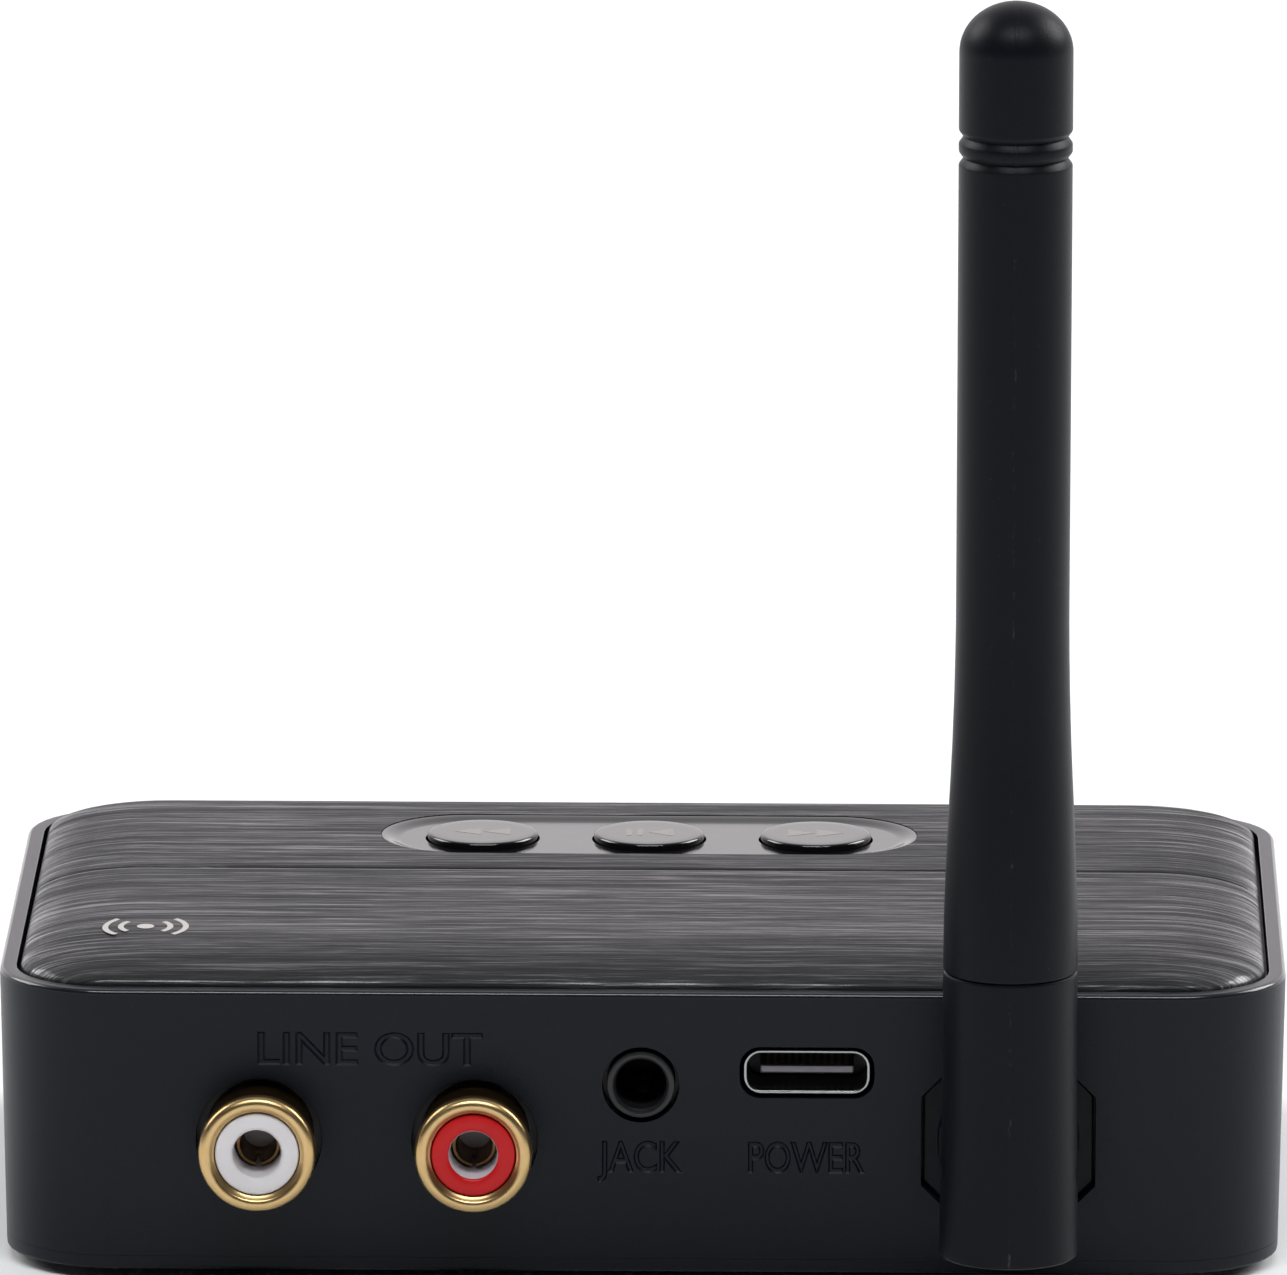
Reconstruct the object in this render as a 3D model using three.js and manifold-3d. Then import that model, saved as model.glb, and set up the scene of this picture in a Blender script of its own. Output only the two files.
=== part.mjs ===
// A desktop audio receiver: a moulded case with a domed top cover and three media buttons, a main board
// hung under the cover with its sockets in the rear wall, and a folding antenna on a swivel hub.
// Millimetres, +Z up, +X to the right when the rear (connector) wall is looked at, which faces -Y.
import * as THREE from "three";
import { mergeVertices } from "three/addons/utils/BufferGeometryUtils.js";
import Module from "manifold-3d";

const wasm = await Module();
wasm.setup();

// ---- Driving dimensions ----
// Case
const caseWidth = 91;
const caseDepth = 57.9;
const rimHeight = 20.35;
const cornerRadius = 8;
const draft = 0.4;
const wall = 1.8;
const rimWall = 1.2;
const rimRound = 0.35;
const coverGap = 0.27;
const coverStep = 1.7;
const basePlate = 1.6;
const baseEdge = 0.9;
const footHeight = 0.8;
const footRadius = 4;
const footInset = 9.5;
const footSeat = 0.5;
const seam = 0.12;
const play = 0.15;
// Top cover
const crown = 2;
const crownEdge = 8;
const coverSkin = 1.4;
const grooveBeforeBar = 11;
const grooveHalfWidth = 0.35;
const grooveDepth = 0.3;
// Button bar
const barWidth = 38.8;
const barDepth = 12.5;
const barFromFront = 16.8;
const barSink = 0.35;
const buttonDiameter = 8;
const buttonPitch = 12.08;
const buttonProud = 0.5;
const buttonTravel = 0.3;
const buttonGap = 0.15;
// Main board and what hangs under it
const boardThickness = 1.2;
const boardSideGap = 2.3;
const boardRearGap = 0.4;
const boardFrontMargin = 2;
const solderGap = 0.02;
const switchSize = 3.5;
const switchHeight = 1.5;
const plungerRadius = 0.8;
// Phono sockets
const phonoX = [-26.9, -11.7];
const phonoDrop = 10.8;
const phonoLip = 8.3;
const phonoLipLength = 1.3;
const phonoBarrel = 7.6;
const phonoClearance = 0.3;
const phonoRing = 5.95;
const phonoBore = 3.4;
const phonoContactOuter = 1.55;
const phonoContactBore = 1.2;
const phonoReach = 4.5;
const phonoSeat = 2;
// Headphone socket
const auxX = 0;
const auxDrop = 6.68;
const auxClearance = 0.325;
const auxBarrel = 4.8;
const auxBore = 3.6;
// Power socket
const usbX = 11.7;
const usbDrop = 5.74;
const usbShell = [8.94, 3.2];
const usbShellCorner = 1.25;
const usbClearance = [0.28, 0.25];
const usbSheet = 0.25;
const usbSink = 0.4;
const usbTongue = [6.6, 0.7];
// Antenna
const antennaX = 25.9;
const pivotDrop = 10.66;
const pivotReach = 8;
const mountAcross = 12.25;
const mountRecess = 1.2;
const mountPlate = 2;
const mountFlange = 1.5;
const hubRadius = 5;
const hubDisc = 1.1;
const hubNeck = 2.4;
const hubBore = 1.1;
const clipThickness = 0.5;
const antennaTop = 92.75;
const seamHeight = 24.05;
const housingBottom = 3.6;
const stemRadius = 3.95;
const seamRadius = 4.7;
const housingRadius = 4.7;
const housingFoot = 4.85;
const pinRadius = 1;
const knuckleWidth = 5.4;
const knuckleRadius = 3.1;
// Screws
const screwHead = 2.3;
const screwShank = 1.15;

// ---- Positions that follow from the sizes above ----
const phonoHole = phonoLip + 2 * phonoClearance;
const auxHole = auxBarrel + 2 * auxClearance;
const usbOpening = usbShell.map((size, i) => size + 2 * usbClearance[i]);
const usbOpeningCorner = usbShellCorner + 0.2;
const antennaFront = pivotReach + Math.max(housingRadius, housingFoot);
const rearY = -(caseDepth - antennaFront) / 2;
const frontY = rearY + caseDepth;
const middleY = (rearY + frontY) / 2;
const baseZ = footHeight;
const rimZ = baseZ + rimHeight;
const ledgeZ = rimZ - coverStep;
const crownZ = rimZ + crown;
const coverInset = rimWall + coverGap;
const barY = frontY - barFromFront;
const barFloorZ = crownZ - barSink;
const insideY = rearY + wall + draft + 0.05;
const phonoZ = rimZ - phonoDrop;
const auxZ = rimZ - auxDrop;
const usbZ = rimZ - usbDrop;
const boardUnderZ = usbZ + usbShell[1] / 2 + 0.1;
const boardTopZ = boardUnderZ + boardThickness;
const boardHalf = caseWidth / 2 - wall - draft - boardSideGap;
const boardRearY = insideY + boardRearGap;
const boardFrontY = barY + switchSize / 2 + boardFrontMargin;
const pivotY = rearY - pivotReach;
const pivotZ = rimZ - pivotDrop;
const buttonNames = ["previous", "play", "next"];
const sideNames = ["left", "right"];

// ---- Colours ----
const finishes = {
  casing: { color: 0x1c1e21, roughness: 0.6 },
  cover: { color: 0x3b3b3d, roughness: 0.4 },
  piano_black: { color: 0x0b0b0c, roughness: 0.12 },
  antenna: { color: 0x1b1c1e, roughness: 0.55 },
  foot_rubber: { color: 0x151515, roughness: 0.9 },
  gold_plate: { color: 0xd6ad62, roughness: 0.25, metalness: 1 },
  steel: { color: 0xb9bcc0, roughness: 0.3, metalness: 1 },
  white_plastic: { color: 0xe9e6df, roughness: 0.4 },
  red_plastic: { color: 0xb9141f, roughness: 0.4 },
  board: { color: 0x14452b, roughness: 0.5 },
  chip: { color: 0x17181a, roughness: 0.5 },
  copper: { color: 0xb87243, roughness: 0.35, metalness: 1 },
};

// ---- Solids ----
function solidOf(geometry) {
  const bare = geometry.index ? geometry.toNonIndexed() : geometry.clone();
  bare.deleteAttribute("normal");
  bare.deleteAttribute("uv");
  const merged = mergeVertices(bare, 1e-4);
  return new wasm.Manifold(
    new wasm.Mesh({
      numProp: 3,
      vertProperties: merged.attributes.position.array,
      triVerts: new Uint32Array(merged.index.array),
    }),
  );
}

function geometryOf(solid) {
  const mesh = solid.getMesh();
  const points = new Float32Array(mesh.numVert * 3);
  for (let i = 0; i < mesh.numVert; i++)
    points.set(mesh.vertProperties.subarray(i * mesh.numProp, i * mesh.numProp + 3), i * 3);
  const geometry = new THREE.BufferGeometry();
  geometry.setAttribute("position", new THREE.BufferAttribute(points, 3));
  geometry.setIndex(new THREE.BufferAttribute(new Uint32Array(mesh.triVerts), 1));
  return geometry;
}

const part = new THREE.Group();

function place(name, finish, solid) {
  const mesh = new THREE.Mesh(geometryOf(solid), new THREE.MeshStandardMaterial(finishes[finish]));
  mesh.name = name;
  part.add(mesh);
}

function box(low, high) {
  const size = high.map((v, i) => v - low[i]);
  const geometry = new THREE.BoxGeometry(...size);
  geometry.translate(...high.map((v, i) => (v + low[i]) / 2));
  return solidOf(geometry);
}

function roundedOutline(width, depth, radius, curveSegments = 4) {
  const shape = new THREE.Shape();
  const x = width / 2 - radius;
  const y = depth / 2 - radius;
  shape.absarc(x, -y, radius, -Math.PI / 2, 0);
  shape.absarc(x, y, radius, 0, Math.PI / 2);
  shape.absarc(-x, y, radius, Math.PI / 2, Math.PI);
  shape.absarc(-x, -y, radius, Math.PI, Math.PI * 1.5);
  shape.closePath();
  return { shape, width, depth, curveSegments };
}

// A solid with the same outline at every layer, drawn in by that layer's inset. Layers rise in z.
function layered(outline, layers) {
  const steps = layers.length - 1;
  const geometry = new THREE.ExtrudeGeometry(outline.shape, {
    depth: 1,
    steps,
    bevelEnabled: false,
    curveSegments: outline.curveSegments,
  });
  const points = geometry.attributes.position;
  for (let i = 0; i < points.count; i++) {
    const layer = layers[Math.round(points.getZ(i) * steps)];
    points.setXYZ(
      i,
      points.getX(i) * (1 - (2 * layer.inset) / outline.width),
      points.getY(i) * (1 - (2 * layer.inset) / outline.depth),
      layer.z,
    );
  }
  return solidOf(geometry);
}

// A rounded plate centred on a point, standing between two heights.
function plate(width, depth, radius, lowZ, highZ, centreX = 0, centreY = middleY, curveSegments = 4) {
  return layered(roundedOutline(width, depth, radius, curveSegments), [
    { z: lowZ, inset: 0 },
    { z: highZ, inset: 0 },
  ]).translate([centreX, centreY, 0]);
}

// Turned solids. A profile is a list of [radius, height] pairs from the bottom up that starts and ends on
// the axis, or a closed ring of them.
function turned(profile, segments = 24) {
  const points = profile.map(([r, z]) => new THREE.Vector2(r, z));
  return solidOf(new THREE.LatheGeometry(points, segments).rotateX(Math.PI / 2));
}

function disc(radius, lowZ, highZ, segments = 24) {
  return turned([[0, lowZ], [radius, lowZ], [radius, highZ], [0, highZ]], segments);
}

function tube(outer, inner, lowZ, highZ, segments = 24) {
  return turned([[inner, lowZ], [outer, lowZ], [outer, highZ], [inner, highZ], [inner, lowZ]], segments);
}

// Lays a solid turned about Z along the Y axis: its top then points to the rear, which is -Y.
function facingRear(solid, x, y, z) {
  return solid.rotate([90, 0, 0]).translate([x, y, z]);
}

function alongX(solid, x, y, z) {
  return solid.rotate([0, 90, 0]).translate([x, y, z]);
}

// The room between the case's walls, which trims what stands close behind them.
function caseRoom() {
  const inset = wall + draft + solderGap;
  const radius = cornerRadius - inset;
  return plate(caseWidth - 2 * inset, caseDepth - 2 * inset, radius, baseZ, rimZ);
}

// A bar that stands on the XY plane, with a rounded rectangle for its section.
function roundedBar([width, height], radius, depth) {
  return layered(roundedOutline(width, height, radius), [
    { z: 0, inset: 0 },
    { z: depth, inset: 0 },
  ]);
}

// A quarter of an ellipse as layers: from the outline at the bottom to its full inset at the top.
function crownLayers(startZ, height, width, count) {
  return Array.from({ length: count + 1 }, (_, i) => {
    const turn = (i / count) * (Math.PI / 2);
    return { z: startZ + height * Math.sin(turn), inset: width * (1 - Math.cos(turn)) };
  });
}

// ---- Shapes that several pieces share ----
const boardHoleInset = 4;
const postX = boardHalf - boardHoleInset;
const postY = boardFrontY - boardHoleInset;
const screwInset = 7.2;
const caseScrewX = caseWidth / 2 - screwInset;
const bossRadius = 3.1;
const bossGap = 0.3;
const blockDepth = 10;
const blockMargin = phonoHole / 2 + 0.9;
const blockSide = Math.max(...phonoX.map(Math.abs)) + blockMargin;
const capacitorRadius = 2;
const capacitorSetback = 3.5;
// The rear screws stand beside the socket block, or behind it and its capacitors in a narrow case.
const besideBlock = caseScrewX - bossRadius - bossGap > blockSide;
const capacitorEnd = blockDepth + capacitorSetback + capacitorRadius;
const behindBlock = insideY - rearY + capacitorEnd + bossGap + bossRadius;
const rearScrewInset = besideBlock ? screwInset : behindBlock;
const caseScrewYs = [rearY + rearScrewInset, frontY - screwInset];
const bossTopZ = boardUnderZ - 0.6;
const footX = caseWidth / 2 - footInset - footRadius;
const footYs = [rearY + footInset + footRadius, frontY - footInset - footRadius];
const corners = [];
for (const [row, end] of ["rear", "front"].entries())
  for (const [column, side] of sideNames.entries())
    corners.push({ name: end + "_" + side, sideways: column ? 1 : -1, row });

// ---- Case ----
function mainHousing() {
  const outline = roundedOutline(caseWidth, caseDepth, cornerRadius);
  const lowZ = baseZ + baseEdge + seam;
  const rise = (z) => draft * (1 - (z - baseZ) / rimHeight);
  const outer = layered(outline, [
    { z: lowZ, inset: rise(lowZ) },
    { z: rimZ - rimRound, inset: 0 },
    { z: rimZ - rimRound * 0.3, inset: rimRound * 0.3 },
    { z: rimZ, inset: rimRound },
  ]);
  const inner = layered(roundedOutline(caseWidth - 2 * wall, caseDepth - 2 * wall, cornerRadius - wall), [
    { z: baseZ - 1, inset: rise(baseZ) },
    { z: rimZ + 1, inset: 0 },
  ]);
  const lipOutline = roundedOutline(caseWidth - 2 * rimWall, caseDepth - 2 * rimWall, cornerRadius - rimWall);
  const lip = layered(lipOutline, [
    { z: ledgeZ, inset: 0 },
    { z: rimZ + 1, inset: 0 },
  ]);
  let shell = outer.subtract(inner).subtract(lip).translate([0, middleY, 0]);
  const bossLow = baseZ + basePlate + 0.3;
  for (const { sideways, row } of corners) {
    const x = sideways * caseScrewX;
    const y = caseScrewYs[row];
    const toWall = sideways * (caseWidth / 2 - wall / 2 - draft / 2);
    const rib = box(
      [Math.min(x, toWall), y - 0.6, bossLow],
      [Math.max(x, toWall), y + 0.6, bossTopZ],
    );
    shell = shell.add(disc(bossRadius, bossLow, bossTopZ).translate([x, y, 0])).add(rib);
  }
  for (const { sideways, row } of corners)
    shell = shell.subtract(
      disc(screwShank + 0.1, bossLow - 1, bossLow + 9, 12).translate([
        sideways * caseScrewX,
        caseScrewYs[row],
        0,
      ]),
    );
  return shell.subtract(rearOpenings()).add(boardPosts());
}

// Two brackets on the side walls carry the board: it is screwed up against them from below.
function boardPosts() {
  const bracketTop = boardUnderZ - solderGap;
  const posts = [-1, 1].map((side) => {
    const x = side * postX;
    const toWall = side * (caseWidth / 2 - wall / 2);
    const arm = box(
      [Math.min(x, toWall), postY - 1.5, bracketTop - 6],
      [Math.max(x, toWall), postY + 1.5, bracketTop],
    );
    const post = disc(2.6, bracketTop - 6, bracketTop, 20).translate([x, postY, 0]);
    const hole = disc(0.95, bracketTop - 5, bracketTop + 1, 12).translate([x, postY, 0]);
    return post.add(arm).subtract(hole);
  });
  return posts[0].add(posts[1]);
}

// Everything that the rear wall is cut out for, as one solid.
function rearOpenings() {
  let cut = facingRear(disc(auxHole / 2, -wall - 1, 1, 28), auxX, rearY, auxZ);
  for (const x of phonoX) cut = cut.add(facingRear(disc(phonoHole / 2, -wall - 1, 1, 32), x, rearY, phonoZ));
  const usbCut = roundedBar(usbOpening, usbOpeningCorner, wall + 2).translate([0, 0, -wall - 1]);
  cut = cut.add(facingRear(usbCut, usbX, rearY, usbZ));
  const pocket = facingRear(octagon(mountAcross, -wall - 1, 1), antennaX, rearY, pivotZ);
  return cut.add(pocket);
}

function octagon(across, lowZ, highZ) {
  const half = across / 2;
  const cut = 2.9;
  const shape = new THREE.Shape([
    new THREE.Vector2(half, -half + cut),
    new THREE.Vector2(half, half - cut),
    new THREE.Vector2(half - cut, half),
    new THREE.Vector2(-half + cut, half),
    new THREE.Vector2(-half, half - cut),
    new THREE.Vector2(-half, -half + cut),
    new THREE.Vector2(-half + cut, -half),
    new THREE.Vector2(half - cut, -half),
  ]);
  const geometry = new THREE.ExtrudeGeometry(shape, { depth: highZ - lowZ, bevelEnabled: false });
  return solidOf(geometry.translate(0, 0, lowZ));
}

function bottomCover() {
  const outline = roundedOutline(caseWidth, caseDepth, cornerRadius);
  const edgeRound = 0.3;
  const edge = layered(outline, [
    { z: baseZ, inset: draft + edgeRound },
    { z: baseZ + edgeRound, inset: draft },
    { z: baseZ + baseEdge, inset: draft - (draft * baseEdge) / rimHeight },
  ]).translate([0, middleY, 0]);
  const inset = wall + draft + play;
  const floor = plate(
    caseWidth - 2 * inset,
    caseDepth - 2 * inset,
    cornerRadius - inset,
    baseZ + 0.1,
    baseZ + basePlate,
  );
  let cover = edge.add(floor);
  for (const { sideways, row } of corners) {
    const seat = disc(footRadius + 0.1, baseZ - 1, baseZ + footSeat, 28).translate([
      sideways * footX,
      footYs[row],
      0,
    ]);
    const headPocket = disc(screwHead + 0.2, baseZ - 1, baseZ + 0.8, 16).translate([
      sideways * caseScrewX,
      caseScrewYs[row],
      0,
    ]);
    const through = disc(screwShank + 0.25, baseZ - 1, baseZ + basePlate + 1, 12).translate([
      sideways * caseScrewX,
      caseScrewYs[row],
      0,
    ]);
    cover = cover.subtract(seat).subtract(headPocket).subtract(through);
  }
  return cover;
}

function coverBody(inset, lowZ, topZ, edgeZ, crownWidth) {
  const outline = roundedOutline(
    caseWidth - 2 * inset,
    caseDepth - 2 * inset,
    Math.max(cornerRadius - inset, 1),
  );
  const dome = crownLayers(edgeZ, topZ - edgeZ, crownWidth, 5);
  return layered(outline, [{ z: lowZ, inset: 0 }, ...dome]).translate([0, middleY, 0]);
}

function topCover() {
  const outer = coverBody(coverInset, ledgeZ + 0.05, crownZ, rimZ - 0.15, crownEdge);
  const skirt = 1.5;
  const hollow = coverBody(coverInset + skirt, ledgeZ - 1, crownZ - coverSkin, rimZ - 0.9, crownEdge);
  const barHole = plate(
    barWidth + 2 * play,
    barDepth + 2 * play,
    barDepth / 2 + play - 0.01,
    ledgeZ - 1,
    crownZ + 1,
    0,
    barY,
    6,
  );
  return outer.subtract(hollow).subtract(barHole).subtract(grooveCutter());
}

// A V channel across the crown, which runs out where the cover falls away at the sides.
function grooveCutter() {
  const rise = 1.5;
  const slope = grooveHalfWidth / grooveDepth;
  const section = new THREE.Shape([
    new THREE.Vector2(0, -grooveDepth),
    new THREE.Vector2(slope * (grooveDepth + rise), rise),
    new THREE.Vector2(-slope * (grooveDepth + rise), rise),
  ]);
  const geometry = new THREE.ExtrudeGeometry(section, { depth: caseWidth, bevelEnabled: false });
  geometry.translate(0, 0, -caseWidth / 2).rotateX(Math.PI / 2).rotateZ(Math.PI / 2);
  return solidOf(geometry).translate([0, barY - grooveBeforeBar, crownZ]);
}

// ---- Button bar, buttons and switches ----
const trayFloor = 1.2;
const trayFlange = 0.6;
const trayFlangeOut = 1;
const trayUnderZ = barFloorZ - trayFloor - trayFlange;

function buttonTray() {
  const radius = barDepth / 2 - 0.01;
  const flangeRadius = radius + trayFlangeOut;
  const flangeWidth = barWidth + 2 * trayFlangeOut;
  const flangeDepth = barDepth + 2 * trayFlangeOut;
  const middleZ = barFloorZ - trayFloor;
  const floor = plate(barWidth, barDepth, radius, middleZ, barFloorZ, 0, barY, 6);
  const flange = plate(flangeWidth, flangeDepth, flangeRadius, trayUnderZ, middleZ, 0, barY, 6);
  let tray = floor.add(flange);
  buttonNames.forEach((_, i) => {
    const hole = disc(buttonDiameter / 2 + buttonGap, trayUnderZ - 1, barFloorZ + 1, 28);
    tray = tray.subtract(hole.translate([buttonX(i), barY, 0]));
  });
  return tray;
}

function buttonX(index) {
  return (index - 1) * buttonPitch;
}

const switchTopZ = boardTopZ + switchHeight;
const stemLowZ = switchTopZ + buttonTravel + 0.15;

// A cup with a flange that keeps it under the tray and a stem that meets the switch's plunger.
function button() {
  const radius = buttonDiameter / 2;
  const topZ = barFloorZ + buttonProud;
  const capRound = 0.35;
  const capSkin = 1.2;
  const flangeTopZ = trayUnderZ - 0.05;
  const flangeLowZ = flangeTopZ - 0.5;
  const flangeOut = 0.7;
  const stem = plungerRadius + 0.4;
  const hollow = switchSize * Math.SQRT1_2 + 0.25;
  return turned(
    [
      [0, stemLowZ],
      [stem, stemLowZ],
      [stem, topZ - capSkin],
      [hollow, topZ - capSkin],
      [hollow, flangeLowZ],
      [radius + flangeOut, flangeLowZ],
      [radius + flangeOut, flangeTopZ],
      [radius, flangeTopZ],
      [radius, topZ - capRound],
      [radius - capRound * 0.3, topZ - capRound * 0.3],
      [radius - capRound, topZ],
      [0, topZ],
    ],
    28,
  );
}

// ---- Sockets ----
const phonoBackZ = rearY - insideY - phonoSeat + 0.03;

function phonoShell() {
  const lip = phonoLip / 2;
  const barrel = phonoBarrel / 2;
  const bore = phonoRing / 2 + 0.05;
  const lipStart = phonoReach - phonoLipLength;
  return turned(
    [
      [bore, phonoBackZ],
      [barrel, phonoBackZ],
      [barrel, lipStart],
      [lip, lipStart + 0.25],
      [lip, phonoReach - 0.3],
      [lip - 0.3, phonoReach],
      [bore + 0.35, phonoReach],
      [bore, phonoReach - 0.3],
      [bore, phonoBackZ],
    ],
    32,
  );
}

const insertFloor = 1.2;

function phonoInsert() {
  const outer = phonoRing / 2 - 0.02;
  const bore = phonoBore / 2;
  const face = phonoReach - 0.35;
  const floorZ = phonoBackZ + insertFloor;
  return turned(
    [
      [0, phonoBackZ],
      [outer, phonoBackZ],
      [outer, face],
      [bore + 0.3, face],
      [bore, face - 0.25],
      [bore, floorZ],
      [0, floorZ],
    ],
    24,
  );
}

// A split tube that grips the plug's centre pin.
function phonoContact() {
  const low = phonoBackZ + insertFloor + solderGap;
  const slot = box([-0.2, 0.5, low + 1.2], [0.2, 2, low + 6]);
  return tube(phonoContactOuter, phonoContactBore, low, low + 4.2, 20).subtract(slot);
}

function phonoBlock() {
  const lowZ = Math.max(phonoZ - blockMargin, baseZ + basePlate + play);
  const low = [phonoX[0] - blockMargin, insideY, lowZ];
  const high = [phonoX[1] + blockMargin, insideY + blockDepth, boardUnderZ - solderGap];
  let block = box(low, high).intersect(caseRoom());
  for (const x of phonoX)
    block = block.subtract(facingRear(disc(phonoBarrel / 2 + 0.03, -phonoSeat, 1, 32), x, insideY, phonoZ));
  return block;
}

const auxDepth = 11.5;
const springSlotHalf = 0.9;

function auxBody() {
  const nose = facingRear(disc(auxBarrel / 2, -0.5, insideY - rearY - 0.1, 24), auxX, insideY, auxZ);
  const half = auxBarrel / 2 + 0.7;
  const low = [auxX - half, insideY, auxZ - auxBarrel / 2 - 0.05];
  const body = box(low, [auxX + half, insideY + auxDepth, boardUnderZ - solderGap]);
  const bore = facingRear(disc(auxBore / 2, 0.5 - auxDepth, wall + 4, 24), auxX, insideY, auxZ);
  const slot = box(
    [auxX - springSlotHalf, insideY + 3, auxZ - auxBarrel],
    [auxX + springSlotHalf, insideY + auxDepth - 2, auxZ],
  );
  return nose.add(body).subtract(bore).subtract(slot);
}

// The leaf that presses on the plug's tip through a slot in the socket's underside.
function auxSpring() {
  const half = springSlotHalf - 0.3;
  const y = insideY + 3.3;
  const low = auxZ - auxBarrel / 2 + 0.2;
  const leaf = box([auxX - half, y, low], [auxX + half, y + 5.4, low + 0.25]);
  return leaf.add(box([auxX - half, y + 2.4, low + 0.1], [auxX + half, y + 3.4, low + 0.65]));
}

const usbLength = 7.3;
const usbWall = 1;

function usbShellSolid() {
  const outer = roundedBar(usbShell, usbShellCorner, usbLength);
  const inside = usbShell.map((size) => size - 2 * usbSheet);
  const inner = roundedBar(inside, usbShellCorner - usbSheet, usbLength).translate([0, 0, usbWall]);
  return facingRear(outer.subtract(inner), usbX, rearY + usbSink + usbLength, usbZ);
}

function usbTongueSolid() {
  const backY = rearY + usbSink + usbLength - usbWall - 0.05;
  const [width, thickness] = usbTongue;
  const low = [usbX - width / 2, rearY + usbSink + 0.9, usbZ - thickness / 2];
  const blade = box(low, [usbX + width / 2, backY, usbZ + thickness / 2]);
  const rootFit = usbSheet + 0.05;
  const rootSize = usbShell.map((size) => size - 2 * rootFit);
  const root = roundedBar(rootSize, usbShellCorner - rootFit, 1.6);
  return blade.add(facingRear(root, usbX, backY, usbZ));
}

// ---- Board and its parts ----
const boardNotch = [6, 10];

function mainBoard() {
  const low = [boardNotch[0] - boardHalf, boardRearY, boardUnderZ];
  const notchY = boardRearY + boardNotch[1];
  const wide = box([-boardHalf, notchY, boardUnderZ], [boardHalf, boardFrontY, boardTopZ]);
  let board = wide.add(box(low, [boardHalf - boardNotch[0], notchY + 1, boardTopZ]));
  for (const side of [-1, 1])
    board = board.subtract(disc(1.3, boardUnderZ - 1, boardTopZ + 1, 14).translate([side * postX, postY, 0]));
  return board;
}

function underBoard(x, y, width, depth, height) {
  const topZ = boardUnderZ - solderGap;
  return box([x - width / 2, y - depth / 2, topZ - height], [x + width / 2, y + depth / 2, topZ]);
}

// ---- Antenna ----
const housingTopZ = baseZ + seamHeight;
const housingLowZ = baseZ + housingBottom;
const seamGap = 0.05;

function antennaHousing() {
  const outside = turned(
    [
      [0, housingLowZ],
      [housingFoot - 0.15, housingLowZ],
      [housingFoot, housingLowZ + 0.2],
      [housingRadius, housingTopZ - 6],
      [housingRadius, housingTopZ - 0.1],
      [housingRadius - 0.1, housingTopZ],
      [0, housingTopZ],
    ],
    32,
  );
  const spin = knuckleRadius + 0.35;
  const slotHalf = knuckleWidth / 2 + 0.15;
  const reach = housingFoot + 1;
  const slot = box([-slotHalf, -spin, housingLowZ - 1], [slotHalf, reach, pivotZ + spin]);
  const coaxWay = disc(1.4, pivotZ, housingTopZ + 1, 14);
  const pinHole = alongX(disc(pinRadius + 0.06, -reach, reach, 28), 0, 0, pivotZ);
  return outside.subtract(slot).subtract(coaxWay).subtract(pinHole).translate([antennaX, pivotY, 0]);
}

function antennaSleeve() {
  const topZ = baseZ + antennaTop;
  const low = housingTopZ + seamGap;
  const grooveZ = [topZ - 9.45, topZ - 10.95];
  const dome = 3.4;
  const profile = [[0, low], [seamRadius - 0.08, low], [seamRadius, low + 0.12]];
  const flare = [[4.66, 4], [4.52, 8], [4.36, 12], [4.16, 16], [4.04, 20], [stemRadius, 25]];
  for (const [radius, rise] of flare) profile.push([radius, low + rise]);
  for (const z of grooveZ.reverse())
    profile.push([stemRadius, z - 0.45], [stemRadius - 0.32, z], [stemRadius, z + 0.45]);
  const steps = 6;
  for (let i = 0; i <= steps; i++) {
    const turn = (i / steps) * (Math.PI / 2);
    profile.push([i === steps ? 0 : stemRadius * Math.cos(turn), topZ - dome + dome * Math.sin(turn)]);
  }
  const bore = disc(1.5, low - 1, topZ - 8, 14);
  return turned(profile, 28).subtract(bore).translate([antennaX, pivotY, 0]);
}

function hingePin() {
  return alongX(disc(pinRadius, 0.35 - housingRadius, housingRadius - 0.35, 28), antennaX, pivotY, pivotZ);
}

const hubSeatY = rearY + mountRecess - 0.05;
const washerThickness = 0.4;
const mountBackY = rearY + mountRecess + mountPlate;
const clipFrontY = mountBackY + washerThickness + 0.1;

// The hub: a disc seated in the mount's recess, a knuckle that holds the hinge pin, and a hollow neck
// that passes through the mount and takes the retaining clip behind it.
function swivelHub() {
  const neckLength = clipFrontY + clipThickness + 0.8 - hubSeatY;
  const seated = facingRear(disc(hubRadius, 0, hubDisc, 36), antennaX, hubSeatY, pivotZ);
  const neck = facingRear(disc(hubNeck, -neckLength, 0.1, 24), antennaX, hubSeatY, pivotZ);
  const clipGroove = facingRear(
    tube(hubNeck + 1, hubNeck - 0.4, -clipThickness - 0.05, 0.05, 24),
    antennaX,
    clipFrontY,
    pivotZ,
  );
  const half = knuckleWidth / 2;
  const barrel = alongX(disc(knuckleRadius, -half, half, 28), antennaX, pivotY, pivotZ);
  const bridge = box(
    [antennaX - half, pivotY, pivotZ - knuckleRadius],
    [antennaX + half, hubSeatY - 0.1, pivotZ + knuckleRadius],
  );
  const pinHole = alongX(disc(pinRadius + 0.04, -half - 1, half + 1, 28), antennaX, pivotY, pivotZ);
  const boreEnd = hubSeatY - pivotY - pinRadius - 1.2;
  const bore = facingRear(disc(hubBore, -neckLength - 1, boreEnd, 16), antennaX, hubSeatY, pivotZ);
  const exit = box(
    [antennaX - hubBore, pivotY + pinRadius + 0.8, pivotZ],
    [antennaX + hubBore, pivotY + pinRadius + 3, pivotZ + knuckleRadius + 1],
  );
  const hub = seated.add(neck).add(barrel).add(bridge);
  return hub.subtract(clipGroove).subtract(pinHole).subtract(bore).subtract(exit);
}

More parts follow.
